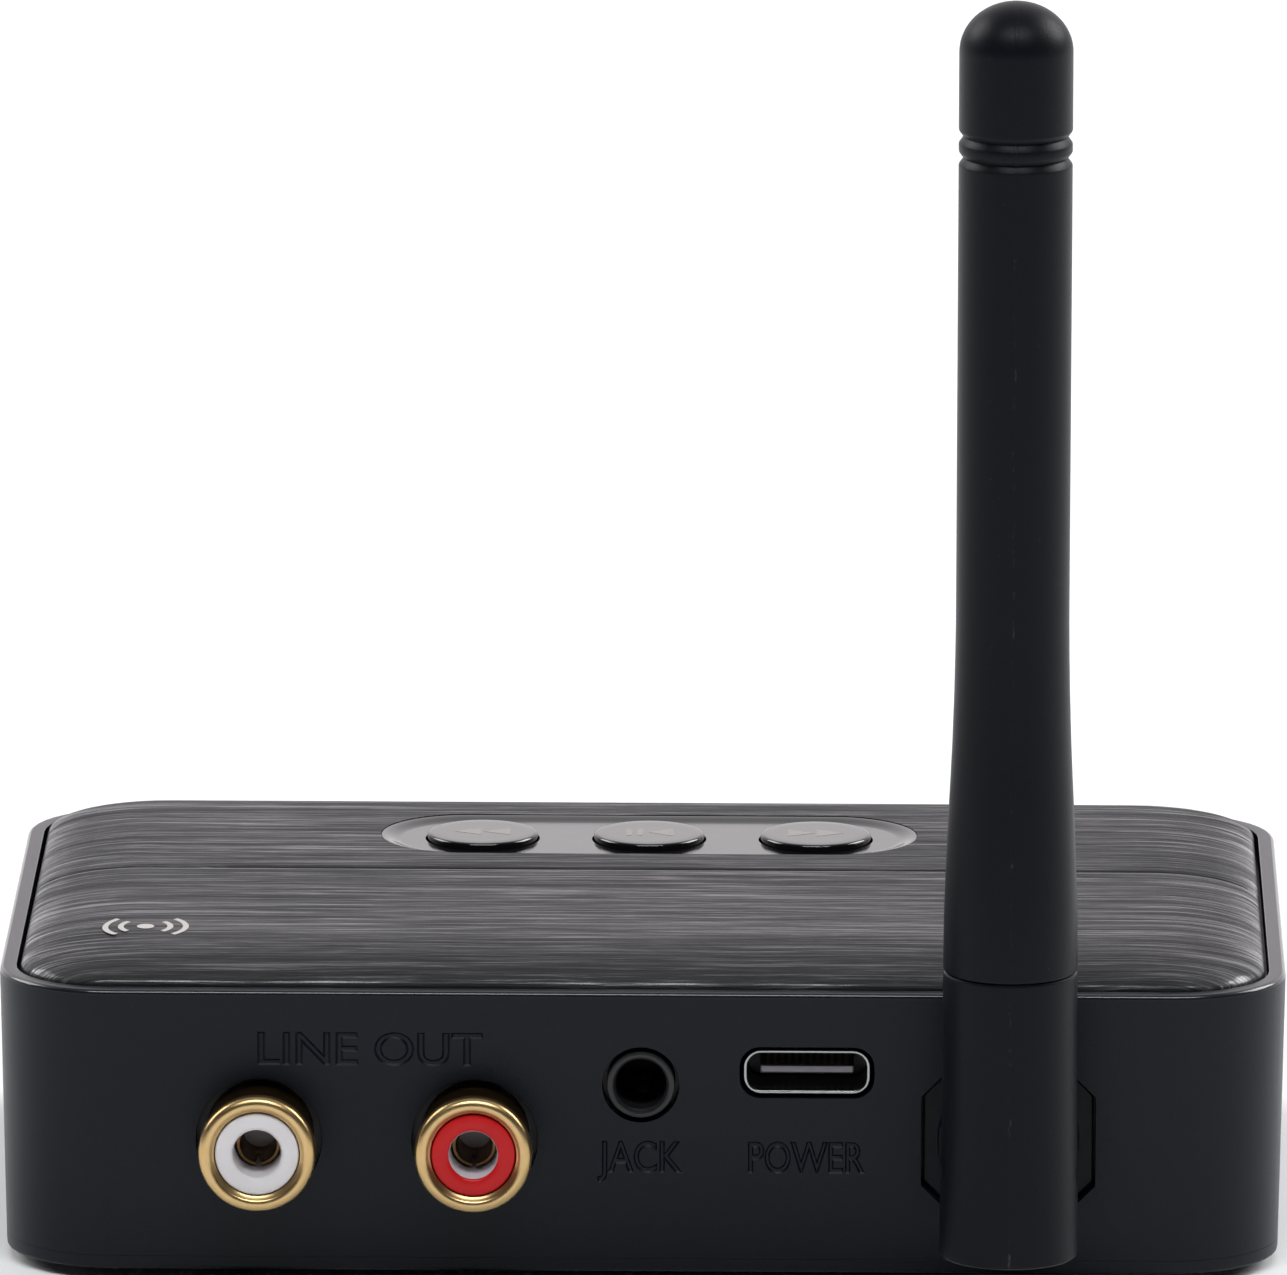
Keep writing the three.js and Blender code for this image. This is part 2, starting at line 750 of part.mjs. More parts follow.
// The plate that closes the octagonal opening in the rear wall, with a flange behind the wall.
function antennaMount() {
  const front = facingRear(octagon(mountAcross - 0.3, -mountPlate, 0), antennaX, rearY + mountRecess, pivotZ);
  const flangeHalf = mountAcross / 2 + mountFlange;
  const heightHalf = mountAcross / 2 - 0.1;
  const flange = box(
    [antennaX - flangeHalf, insideY, pivotZ - heightHalf],
    [antennaX + flangeHalf, mountBackY, pivotZ + heightHalf],
  );
  const hole = facingRear(disc(hubNeck + 0.1, -mountPlate - 1, 1, 24), antennaX, rearY + mountRecess, pivotZ);
  return front.add(flange.intersect(caseRoom())).subtract(hole);
}

function frictionWasher() {
  return facingRear(
    tube(hubNeck + 1.6, hubNeck + 0.1, -washerThickness, 0, 24),
    antennaX,
    mountBackY + 0.05,
    pivotZ,
  );
}

// An open retaining ring in the neck's groove.
function hubClip() {
  const ring = tube(hubNeck + 1.1, hubNeck - 0.3, -clipThickness, 0, 24);
  const mouth = box([-0.9, -hubNeck - 2, -1], [0.9, 0, 1]);
  return facingRear(ring.subtract(mouth), antennaX, clipFrontY, pivotZ);
}

// ---- Radiator: a straight rod with a loading coil, inside the sleeve ----
function helixCurve(radius, pitch, turns, lowZ) {
  class Helix extends THREE.Curve {
    getPoint(t, target = new THREE.Vector3()) {
      const turn = t * turns * Math.PI * 2;
      return target.set(radius * Math.cos(turn), radius * Math.sin(turn), lowZ + t * turns * pitch);
    }
  }
  return new Helix();
}

function wireAlong(curve, radius, steps, curveSegments) {
  const section = new THREE.Shape();
  section.absarc(0, 0, radius, 0, Math.PI * 2);
  const geometry = new THREE.ExtrudeGeometry(section, {
    extrudePath: curve,
    steps,
    curveSegments,
    bevelEnabled: false,
  });
  return solidOf(geometry);
}

const coilLow = housingTopZ + 12;

function radiator() {
  const turns = 5;
  const coil = wireAlong(helixCurve(1, 1.6, turns, coilLow), 0.25, turns * 8, 3);
  const high = coilLow + turns * 1.6;
  const lower = disc(0.25, housingTopZ + 1, coilLow + 0.2, 8).translate([1, 0, 0]);
  const upper = disc(0.25, high - 0.2, high + 28, 8).translate([1, 0, 0]);
  return coil.add(lower).add(upper).translate([antennaX, pivotY, 0]);
}

// The coaxial lead leaves the hub's neck on the swivel axis and runs to its connector under the board.
const coaxRadius = 0.6;
const coaxConnector = [antennaX - 7, insideY + blockDepth + 3.7];

function coaxLead() {
  const route = new THREE.CatmullRomCurve3([
    new THREE.Vector3(antennaX, clipFrontY - 1.5, pivotZ),
    new THREE.Vector3(antennaX, clipFrontY + 2.5, pivotZ),
    new THREE.Vector3(antennaX - 0.5, clipFrontY + 6, pivotZ + 0.6),
    new THREE.Vector3(antennaX - 3, coaxConnector[1] - 2, boardUnderZ - 2.6),
    new THREE.Vector3(coaxConnector[0] + 1.75, coaxConnector[1], boardUnderZ - 1.25),
  ]);
  return wireAlong(route, coaxRadius, 16, 4);
}

// The stretch of the same lead inside the antenna, from above the hinge to the radiator.
function coaxTail() {
  return disc(0.6, pivotZ + knuckleRadius + 1.2, housingTopZ + 0.6, 10).translate([antennaX, pivotY, 0]);
}

// ---- The pieces, from the outside in ----
place("main_housing", "casing", mainHousing());
place("bottom_cover", "casing", bottomCover());
place("top_cover", "cover", topCover());
place("button_tray", "piano_black", buttonTray());

buttonNames.forEach((name, i) => {
  const x = buttonX(i);
  place(name + "_button", "piano_black", button().translate([x, barY, 0]));
  const half = switchSize / 2;
  const body = box([x - half, barY - half, boardTopZ + solderGap], [x + half, barY + half, switchTopZ]);
  const well = disc(plungerRadius + 0.1, switchTopZ - 1, switchTopZ + 1, 16).translate([x, barY, 0]);
  place(name + "_switch", "steel", body.subtract(well));
  place(
    name + "_switch_plunger",
    "chip",
    disc(plungerRadius, switchTopZ - 0.6, stemLowZ - 0.02, 14).translate([x, barY, 0]),
  );
});

for (const { name, sideways, row } of corners) {
  const foot = turned([
    [0, baseZ + footSeat - 0.02],
    [footRadius, baseZ + footSeat - 0.02],
    [footRadius, 0.25],
    [footRadius - 0.25, 0],
    [0, 0],
  ].reverse(), 28);
  place("foot_" + name, "foot_rubber", foot.translate([sideways * footX, footYs[row], 0]));
  const screw = disc(screwHead, baseZ + 0.1, baseZ + 0.78, 16)
    .add(disc(screwShank, baseZ + 0.5, baseZ + 8, 12))
    .subtract(box([-0.25, -1.3, baseZ - 1], [0.25, 1.3, baseZ + 0.45]))
    .subtract(box([-1.3, -0.25, baseZ - 1], [1.3, 0.25, baseZ + 0.45]));
  place("case_screw_" + name, "steel", screw.translate([sideways * caseScrewX, caseScrewYs[row], 0]));
}

place("main_board", "board", mainBoard());
sideNames.forEach((name, i) => {
  const x = (i ? 1 : -1) * postX;
  const head = disc(2.1, boardTopZ + 0.02, boardTopZ + 1.1, 16);
  const shank = disc(0.9, boardUnderZ - 4, boardTopZ + 0.2, 10);
  place("board_screw_" + name, "steel", head.add(shank).translate([x, postY, 0]));
});

place("socket_block", "chip", phonoBlock());
sideNames.forEach((name, i) => {
  const at = [phonoX[i], rearY, phonoZ];
  place("phono_shell_" + name, "gold_plate", facingRear(phonoShell(), ...at));
  place("phono_insert_" + name, i ? "red_plastic" : "white_plastic", facingRear(phonoInsert(), ...at));
  place("phono_contact_" + name, "gold_plate", facingRear(phonoContact(), ...at));
});
place("headphone_socket", "chip", auxBody());
place("headphone_tip_spring", "gold_plate", auxSpring());
place("power_socket_shell", "steel", usbShellSolid());
place("power_socket_tongue", "chip", usbTongueSolid());

const moduleX = boardHalf - 19;
const moduleY = boardFrontY - 9;
const moduleBoard = [18, 13, 0.8];
const shieldCan = [11.5, 10, 2.16];
const shieldX = moduleX - moduleBoard[0] / 2 + 1.5 + shieldCan[0] / 2;
place("radio_module_board", "board", underBoard(moduleX, moduleY, ...moduleBoard));
const shieldDrop = -moduleBoard[2] - solderGap;
place("radio_shield_can", "steel", underBoard(shieldX, moduleY, ...shieldCan).translate([0, 0, shieldDrop]));
// Chips stand in a row beside the radio module: how far left of its edge, how far forward, and their size.
const besideModule = [
  { name: "voltage_regulator", finish: "chip", left: 4, forward: -1, size: [3, 3, 1.1] },
  { name: "power_inductor", finish: "chip", left: 5.5, forward: 5.5, size: [4, 4, 2] },
  { name: "crystal", finish: "steel", left: 9.4, forward: 3, size: [3.2, 2.5, 0.8] },
  { name: "audio_converter_chip", finish: "chip", left: 17, forward: 0, size: [5, 5, 1] },
  { name: "line_driver_chip", finish: "chip", left: 27, forward: 1, size: [5, 4, 1.2] },
];
const moduleEdge = moduleX - moduleBoard[0] / 2;
for (const { name, finish, left, forward, size } of besideModule)
  place(name, finish, underBoard(moduleEdge - left, moduleY + forward, ...size));
sideNames.forEach((name, i) => {
  const can = disc(capacitorRadius, boardUnderZ - 5.4, boardUnderZ - solderGap, 18);
  const y = insideY + blockDepth + capacitorSetback;
  place("output_capacitor_" + name, "steel", can.translate([phonoX[i], y, 0]));
});
place(
  "coax_connector",
  "gold_plate",
  box(
    [coaxConnector[0] - 1.3, coaxConnector[1] - 1.3, boardUnderZ - 2],
    [coaxConnector[0] + 1.3, coaxConnector[1] + 1.3, boardUnderZ - 0.02],
  ),
);
place("coax_lead", "chip", coaxLead());

const coilX = -caseWidth / 2 + 10.2;
const coilY = rearY + 11;
const coilTopZ = crownZ - coverSkin - 0.9;
const coil = plate(8, 8, 1.5, coilTopZ - 0.2, coilTopZ, coilX, coilY, 4);
place(
  "touch_pairing_coil",
  "copper",
  coil.subtract(plate(5, 5, 0.8, coilTopZ - 1, coilTopZ + 1, coilX, coilY, 4)),
);

place("antenna_mount", "casing", antennaMount());
place("friction_washer", "steel", frictionWasher());
place("hub_clip", "steel", hubClip());
place("swivel_hub", "antenna", swivelHub());
place("hinge_pin", "steel", hingePin());
place("antenna_housing", "antenna", antennaHousing());
place("antenna_sleeve", "antenna", antennaSleeve());
place("radiator", "copper", radiator());
place("coax_tail", "chip", coaxTail());

export default part;
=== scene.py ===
import math

import bmesh
import bpy
from mathutils import Matrix, Vector


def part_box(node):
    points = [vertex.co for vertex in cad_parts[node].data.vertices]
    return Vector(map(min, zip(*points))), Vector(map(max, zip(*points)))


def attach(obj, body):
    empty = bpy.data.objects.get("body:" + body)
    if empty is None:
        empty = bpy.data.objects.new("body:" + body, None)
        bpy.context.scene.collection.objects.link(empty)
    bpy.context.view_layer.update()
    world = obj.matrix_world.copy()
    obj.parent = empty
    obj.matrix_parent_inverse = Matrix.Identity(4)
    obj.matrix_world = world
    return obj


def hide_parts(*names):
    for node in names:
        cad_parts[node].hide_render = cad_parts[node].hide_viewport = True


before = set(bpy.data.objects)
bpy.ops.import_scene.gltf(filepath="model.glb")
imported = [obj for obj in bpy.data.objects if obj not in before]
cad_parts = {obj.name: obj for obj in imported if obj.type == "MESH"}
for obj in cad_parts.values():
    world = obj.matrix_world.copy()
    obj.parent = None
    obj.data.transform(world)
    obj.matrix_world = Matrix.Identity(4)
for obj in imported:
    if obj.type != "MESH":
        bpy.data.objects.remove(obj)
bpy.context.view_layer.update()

# ----------------------------------------
# Studio: a plain pale table, a soft white tent of light and a long lens behind the receiver.
# The camera stands 1.2 m from the rear wall and looks down at it by twelve degrees.
mm = 0.001
case_low, case_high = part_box("main_housing")
rear_y = case_low.y
front_y = case_high.y
rim_z = case_high.z
middle_y = (rear_y + front_y) / 2

yaw, pitch, roll = math.radians(-0.802), math.radians(12.341), math.radians(0.125)
ahead = Vector((math.sin(yaw) * math.cos(pitch), math.cos(yaw) * math.cos(pitch), -math.sin(pitch)))
level = Vector((math.cos(yaw), -math.sin(yaw), 0))
upright = level.cross(ahead)
right = math.cos(roll) * level + math.sin(roll) * upright
up = math.cos(roll) * upright - math.sin(roll) * level
camera_data = bpy.data.cameras.new("camera")
camera_data.lens = 499.75
camera_data.sensor_width = 36
camera_data.clip_end = 20
camera = bpy.data.objects.new("camera", camera_data)
bpy.context.scene.collection.objects.link(camera)
aside, behind, above = 17.23 * mm, 1221.69 * mm, 314.06 * mm
turn = Matrix((right, up, -ahead)).transposed().to_4x4()
camera.matrix_world = Matrix.Translation((aside, rear_y - behind, above)) @ turn
bpy.context.scene.camera = camera

bpy.context.scene.view_settings.view_transform = "Standard"

# the tent: white behind and above the receiver, and dim on the camera's side
world = bpy.data.worlds.new("studio")
world.use_nodes = True
tent = world.node_tree
heading = tent.nodes.new("ShaderNodeTexCoord")
facing = tent.nodes.new("ShaderNodeVectorMath")
facing.operation = "DOT_PRODUCT"
facing.inputs[1].default_value = (0, 0.98, 0.2)
shade = tent.nodes.new("ShaderNodeValToRGB")
for position, grey in ((0.5, 0.025), (0.66, 0.1), (0.84, 0.45)):
    stop = shade.color_ramp.elements.new(position)
    stop.color = (grey, grey, grey * 1.06, 1)
shade.color_ramp.elements[0].color = (0.02, 0.02, 0.022, 1)
shade.color_ramp.elements[-1].color = (1.0, 0.96, 0.98, 1)
spread = tent.nodes.new("ShaderNodeMath")
spread.operation = "MULTIPLY_ADD"
spread.inputs[1].default_value = 0.5
spread.inputs[2].default_value = 0.5
tent.links.new(heading.outputs["Generated"], facing.inputs[0])
tent.links.new(facing.outputs["Value"], spread.inputs[0])
tent.links.new(spread.outputs[0], shade.inputs["Fac"])
tent.links.new(shade.outputs["Color"], tent.nodes["Background"].inputs["Color"])
tent.nodes["Background"].inputs["Strength"].default_value = 1.25
bpy.context.scene.world = world


def softbox(name, place, target, width, height, watts, tint=(1, 1, 1)):
    """A soft lamp at a place, turned to face a target."""
    lamp = bpy.data.lights.new(name, "AREA")
    lamp.shape = "RECTANGLE"
    lamp.size = width
    lamp.size_y = height
    lamp.energy = watts
    lamp.color = tint
    stand = bpy.data.objects.new(name, lamp)
    bpy.context.scene.collection.objects.link(stand)
    stand.location = place
    stand.rotation_euler = (Vector(target) - Vector(place)).to_track_quat("-Z", "Y").to_euler()
    return stand


softbox("front_lamp", (0.02, rear_y - 0.58, 1.05), (0, rear_y, 0.02), 0.9, 0.2, 7.5, (0.93, 0.97, 1))
softbox("right_lamp", (1.5, 0.75, 1.1), (0, 0.55, 0), 1.2, 1.0, 30)
softbox("left_lamp", (-1.5, 0.75, 1.1), (0, 0.55, 0), 1.2, 1.0, 20)


def clear():
    """Back to object mode with nothing selected."""
    if bpy.context.mode != "OBJECT":
        bpy.ops.object.mode_set(mode="OBJECT")
    bpy.ops.object.select_all(action="DESELECT")


class Reading:
    """A node's output that Python arithmetic works on: each operator adds a Math node."""

    def __init__(self, finish, socket):
        self.finish = finish
        self.socket = socket

    def math(self, operation, *values, clamp=False):
        return self.finish.node("ShaderNodeMath", {"operation": operation, "use_clamp": clamp}, *values)

    def __add__(self, other):
        return self.math("ADD", self, other)

    __radd__ = __add__

    def __sub__(self, other):
        return self.math("SUBTRACT", self, other)

    def __rsub__(self, other):
        return self.math("SUBTRACT", other, self)

    def __mul__(self, other):
        return self.math("MULTIPLY", self, other)

    __rmul__ = __mul__

    def __lt__(self, other):
        return self.math("LESS_THAN", self, other)

    def __gt__(self, other):
        return self.math("GREATER_THAN", self, other)

    def size(self):
        return self.math("ABSOLUTE", self)

    def between(self, low, high):
        """0 below low, 1 above high, straight in between."""
        return self.math("MULTIPLY", (self - low), 1 / (high - low), clamp=True)


class Finish:
    """A material: its Principled shader, and the nodes that feed it."""

    def __init__(self, name, **constants):
        self.material = bpy.data.materials.new(name)
        self.material.use_nodes = True
        self.tree = self.material.node_tree
        self.shader = self.tree.nodes["Principled BSDF"]
        for socket, value in constants.items():
            self.shader.inputs[socket.replace("_", " ")].default_value = value
        self.place = self.node("ShaderNodeTexCoord", {"out": "Object"})

    def node(self, kind, settings, *values, **named):
        """Adds a node with its settings, then feeds its sockets in order or by name."""
        made = self.tree.nodes.new(kind)
        out = 0
        for key, value in settings.items():
            if key == "out":
                out = value
            elif key == "stops":
                ramp = made.color_ramp
                for position, color in value[2:]:
                    ramp.elements.new(position)
                for stop, (position, color) in zip(ramp.elements, sorted(value)):
                    stop.position = position
                    stop.color = (*color, 1)
            else:
                setattr(made, key, value)
        shown = [socket for socket in made.inputs if socket.enabled]
        for socket, value in zip(shown, values):
            self.feed(socket, value)
        for key, value in named.items():
            self.feed(made.inputs[key], value)
        return Reading(self, made.outputs[out])

    def feed(self, socket, value):
        if isinstance(value, Reading):
            self.tree.links.new(value.socket, socket)
        else:
            if socket.type == "RGBA" and len(value) == 3:
                value = (*value, 1)
            socket.default_value = value

    def set(self, socket, value):
        self.feed(self.shader.inputs[socket], value)

    def stretched(self, x, y, z):
        """The piece's own coordinates, drawn out by a factor along each axis."""
        return self.node("ShaderNodeMapping", {}, Vector=self.place, Scale=(x, y, z))

    def noise(self, scale, detail=3, roughness=0.5, where=None):
        inputs = {"Vector": where or self.place, "Scale": scale, "Detail": detail, "Roughness": roughness}
        return self.node("ShaderNodeTexNoise", {"out": "Fac"}, **inputs)

    def specks(self, scale):
        return self.node("ShaderNodeTexVoronoi", {"out": "Distance"}, Vector=self.place, Scale=scale)

    def axes(self):
        split = self.node("ShaderNodeSeparateXYZ", {"out": "X"}, self.place)
        node = split.socket.node
        return split, Reading(self, node.outputs["Y"]), Reading(self, node.outputs["Z"])

    def colors(self, amount, *stops):
        return self.node("ShaderNodeValToRGB", {"stops": list(stops)}, amount)

    def mixed(self, amount, first, second):
        made = self.tree.nodes.new("ShaderNodeMix")
        made.data_type = "RGBA"
        self.feed(made.inputs[0], amount)
        self.feed(made.inputs[6], first)
        self.feed(made.inputs[7], second)
        return Reading(self, made.outputs[2])

    def toned(self, tone, dark, pale, rough, swing):
        """A colour that drifts between two, and a roughness that drifts with it."""
        self.set("Base Color", self.mixed(tone, dark, pale))
        self.set("Roughness", rough + tone * swing)

    def relief(self, height, depth):
        """A bump of this depth in metres."""
        self.set("Normal", self.node("ShaderNodeBump", {}, Height=height, Distance=depth, Strength=1.0))


bpy.ops.object.select_all(action="DESELECT")
bpy.ops.mesh.primitive_plane_add(size=6, location=(0, 1, 0))
table = bpy.context.object
table.name = "table"
paper = Finish("table_paper", Roughness=0.9, Specular_IOR_Level=0.1)
paper.set("Base Color", paper.mixed(paper.noise(8, 2), (0.9, 0.9, 0.9), (0.94, 0.94, 0.94)))
table.data.materials.append(paper.material)

# ----------------------------------------
# Main housing: one charcoal moulding with spark-eroded walls, a thin rim round the top cover, a
# ledge under it, screw bosses in the corners, and openings and sunk lettering in its rear wall.
case_size = case_high - case_low
case_middle = Vector((0, middle_y, 0))
corner = 8 * mm
draft = 0.38 * mm
rim_wall = 1.2 * mm
side_wall = 1.8 * mm
cover_step = 1.7 * mm
rim_round = 0.35 * mm
ledge_z = rim_z - cover_step


def take(piece):
    """Selects a piece and nothing else."""
    clear()
    bpy.context.view_layer.objects.active = piece
    piece.select_set(True)


def edit(piece):
    take(piece)
    bpy.ops.object.mode_set(mode="EDIT")


def done():
    bpy.ops.object.mode_set(mode="OBJECT")


def select_all():
    bpy.ops.mesh.select_all(action="SELECT")


def face_out():
    """Turns every face outwards, and leaves edit mode."""
    select_all()
    bpy.ops.mesh.normals_make_consistent(inside=False)
    done()


def pick(piece, kind, where, wanted=True):
    """In edit mode, selects the faces, edges or verts for which `where` is true, and nothing else."""
    mesh = bmesh.from_edit_mesh(piece.data)
    mode = {"verts": "VERT", "edges": "EDGE", "faces": "FACE"}[kind]
    bpy.context.tool_settings.mesh_select_mode = [mode == m for m in ("VERT", "EDGE", "FACE")]
    mesh.select_mode = {mode}
    for group in (mesh.verts, mesh.edges, mesh.faces):
        for item in group:
            item.select = False
    for item in list(getattr(mesh, kind)):
        if where(item):
            item.select_set(True)
    mesh.select_flush_mode()
    bmesh.update_edit_mesh(piece.data)


def near(a, b, slack=0.02 * mm):
    return abs(a - b) < slack


def flat_at(z, slack=0.02 * mm):
    """For picking: the faces or edges that lie at a height."""
    return lambda item: all(near(v.co.z, z, slack) for v in item.verts)


def runs_along(axis):
    """For picking: the edges that run along an axis."""
    return lambda edge: abs((edge.verts[0].co - edge.verts[1].co).normalized()[axis]) > 0.99


def block(name, low, high):
    """A cube stretched between two corners."""
    clear()
    low, high = Vector(low), Vector(high)
    bpy.ops.mesh.primitive_cube_add(size=1, location=(low + high) / 2, scale=high - low)
    bpy.ops.object.transform_apply(location=True, rotation=True, scale=True)
    bpy.context.object.name = name
    return bpy.context.object


def round_corners(piece, radius, segments):
    """Bevels the upright edges."""
    edit(piece)
    pick(piece, "edges", runs_along(2))
    bpy.ops.mesh.bevel(offset=radius, segments=segments, affect="EDGES")
    done()


def raise_faces(distance):
    bpy.ops.mesh.extrude_region_move(TRANSFORM_OT_translate={"value": (0, 0, distance)})


def draw_in(factor_x, factor_y, centre):
    bpy.ops.transform.resize(value=(factor_x, factor_y, 1), center_override=centre)


def soften(piece, where, width, segments=2):
    """Rounds the edges picked by `where`."""
    edit(piece)
    pick(piece, "edges", where)
    bpy.ops.mesh.bevel(offset=width, segments=segments, affect="EDGES", clamp_overlap=True)
    done()


def boolean(piece, tool, operation="DIFFERENCE", tangled=False):
    """Cuts the tool from a piece, or adds it, and throws the tool away."""
    clear()
    bpy.context.view_layer.objects.active = piece
    cut = piece.modifiers.new("cut", "BOOLEAN")
    cut.operation = operation
    cut.object = tool
    cut.solver = "EXACT"
    cut.use_self = tangled
    bpy.ops.object.modifier_apply(modifier=cut.name)
    bpy.data.objects.remove(tool)


def turn_to(piece, rotation, place):
    """Turns and moves a piece, and puts the turn and the place in its mesh."""
    take(piece)
    piece.rotation_euler = rotation
    piece.location = place
    bpy.ops.object.transform_apply(location=True, rotation=True, scale=True)
    return piece


def move_to(piece, x, y, z=0):
    return turn_to(piece, (0, 0, 0), (x, y, z))


facing_rear = (math.pi / 2, 0, 0)
along_x = (0, math.pi / 2, 0)


def turned(name, profile, sides=64, closed=False):
    """A turned body about Z: a ring extruded and resized along (radius, height) points.
    A closed profile is a tube, whose last ring is bridged to its first."""
    clear()
    bpy.ops.mesh.primitive_circle_add(vertices=sides, radius=profile[0][0], location=(0, 0, profile[0][1]))
    piece = bpy.context.object
    piece.name = name
    bpy.ops.object.transform_apply(location=True)
    edit(piece)
    bpy.context.tool_settings.mesh_select_mode = (False, True, False)
    select_all()
    if not closed:
        bpy.ops.mesh.edge_face_add()
        select_all()
    for (before, low), (radius, high) in zip(profile, profile[1:]):
        raise_faces(high - low)
        draw_in(radius / before, radius / before, (0, 0, 0))
    if closed:
        pick(piece, "edges", lambda e: e.is_boundary)
        bpy.ops.mesh.bridge_edge_loops()
    face_out()
    return piece


def rings(z, *points):
    """Profile points in millimetres: radii, and heights from z."""
    return [(radius * mm, z + rise * mm) for radius, rise in points]


def bored(piece, place, radius, low, high, sides, operation="DIFFERENCE"):
    """Cuts a round hole down through a piece, or adds a round post to it."""
    rod = turned("rod", [(radius, low), (radius, high)], sides)
    boolean(piece, move_to(rod, place[0], place[1]), operation)


def unite(name, *pieces):
    """Joins loose pieces into one object."""
    clear()
    for piece in pieces:
        piece.select_set(True)
    bpy.context.view_layer.objects.active = pieces[0]
    if len(pieces) > 1:
        bpy.ops.object.join()
    pieces[0].name = name
    return pieces[0]


def copy_of(piece, name, place=(0, 0, 0)):
    twin = piece.copy()
    twin.data = piece.data.copy()
    twin.name = name
    bpy.context.scene.collection.objects.link(twin)
    return move_to(twin, *place)


def finished(piece, finish, body, nodes=(), angle=32):
    """Smooths, paints and mounts a piece that stands for these CAD nodes."""
    take(piece)
    bpy.ops.object.shade_smooth_by_angle(angle=math.radians(angle))
    even = piece.modifiers.new("even_normals", "WEIGHTED_NORMAL")
    even.keep_sharp = True
    bpy.ops.object.modifier_apply(modifier=even.name)
    piece.data.materials.clear()
    piece.data.materials.append(finish.material)
    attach(piece, body)
    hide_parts(*nodes)
    return piece


housing = block("housing", case_low, case_high)
round_corners(housing, corner, 10)
edit(housing)
pick(housing, "faces", flat_at(case_low.z))
draw_in(1 - 2 * draft / case_size.x, 1 - 2 * draft / case_size.y, case_middle)
pick(housing, "faces", flat_at(rim_z))
bpy.ops.mesh.inset(thickness=rim_wall)
raise_faces(-cover_step)
bpy.ops.mesh.inset(thickness=side_wall - rim_wall)
raise_faces(case_low.z - ledge_z)
pick(housing, "faces", flat_at(case_low.z))
bpy.ops.mesh.delete(type="ONLY_FACE")
pick(housing, "edges", lambda e: e.is_boundary)
bpy.ops.mesh.bridge_edge_loops()
face_out()


def rim_edge(outer):
    def test(edge):
        if not flat_at(rim_z)(edge):
            return False
        walls = [f for f in edge.link_faces if abs(f.normal.z) < 0.5]
        if len(walls) != 1:
            return False
        out = (walls[0].calc_center_median() - case_middle).to_2d().dot(walls[0].normal.to_2d()) > 0
        return out == outer

    return test


soften(housing, rim_edge(True), rim_round, 4)
soften(housing, rim_edge(False), 0.12 * mm, 2)

boss_z = (2.7 * mm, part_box("main_board")[0].z - 0.6 * mm)
post_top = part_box("main_board")[0].z - 0.02 * mm
corner_names = ("rear_left", "rear_right", "front_left", "front_right")


def middle_of(node):
    low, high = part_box(node)
    return (low + high) / 2


def seen_from_above(node):
    """A node's middle in X and Y."""
    low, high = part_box(node)
    return (low.x + high.x) / 2, (low.y + high.y) / 2


for name in corner_names:
    x, y = seen_from_above("case_screw_" + name)
    wall_x = math.copysign(case_high.x - 1.1 * mm, x)
    rib = block("rib", (min(x, wall_x), y - 0.6 * mm, boss_z[0]), (max(x, wall_x), y + 0.6 * mm, boss_z[1]))
    bored(housing, (x, y), 3.1 * mm, *boss_z, 24, "UNION")
    boolean(housing, rib, "UNION")
    bored(housing, (x, y), 1.25 * mm, boss_z[0] - 1 * mm, boss_z[0] + 9 * mm, 16)
for side in ("left", "right"):
    x, y = seen_from_above("board_screw_" + side)
    wall_x = math.copysign(case_high.x - 0.9 * mm, x)
    arm_low = post_top - 6 * mm
    arm = block("arm", (min(x, wall_x), y - 1.5 * mm, arm_low), (max(x, wall_x), y + 1.5 * mm, post_top))
    bored(housing, (x, y), 2.6 * mm, arm_low, post_top, 24, "UNION")
    boolean(housing, arm, "UNION")
    bored(housing, (x, y), 0.95 * mm, post_top - 5 * mm, post_top + 1 * mm, 16)


phono_places = [middle_of("phono_shell_left"), middle_of("phono_shell_right")]
aux_low, aux_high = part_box("headphone_socket")
aux_place = Vector(((aux_low.x + aux_high.x) / 2, rear_y, aux_low.z + 2.45 * mm))
usb_place = middle_of("power_socket_shell")
pivot = middle_of("hinge_pin")
rear_reach = 3 * mm


def rear_drill(radius, place):
    """A cutter through the rear wall."""
    drill = turned("drill", [(radius, -rear_reach), (radius, 1 * mm)], 48)
    return turn_to(drill, facing_rear, (place.x, rear_y, place.z))


def rounded_bar(name, width, height, radius, low, high, segments=6):
    """A bar along Z with a rounded rectangle for its section."""
    bar = block(name, (-width / 2, -height / 2, low), (width / 2, height / 2, high))
    round_corners(bar, radius, segments)
    return bar


for place in phono_places:
    boolean(housing, rear_drill(4.45 * mm, place))
boolean(housing, rear_drill(2.725 * mm, aux_place))
usb_opening = rounded_bar("opening", 9.5 * mm, 3.7 * mm, 1.45 * mm, -rear_reach, 1 * mm)
boolean(housing, turn_to(usb_opening, facing_rear, (usb_place.x, rear_y, usb_place.z)))


def octagon_bar(name, across, low, high):
    """A square bar along Z with its four corners cut off."""
    bar = block(name, (-across / 2, -across / 2, low), (across / 2, across / 2, high))
    edit(bar)
    pick(bar, "edges", runs_along(2))
    bpy.ops.mesh.bevel(offset=2.9 * mm, segments=1, affect="EDGES")
    done()
    return bar


mount_across = 12.25 * mm
pocket = octagon_bar("pocket", mount_across, -rear_reach, 1 * mm)
boolean(housing, turn_to(pocket, facing_rear, (pivot.x, rear_y, pivot.z)))


letter_slope = 0.14 * mm


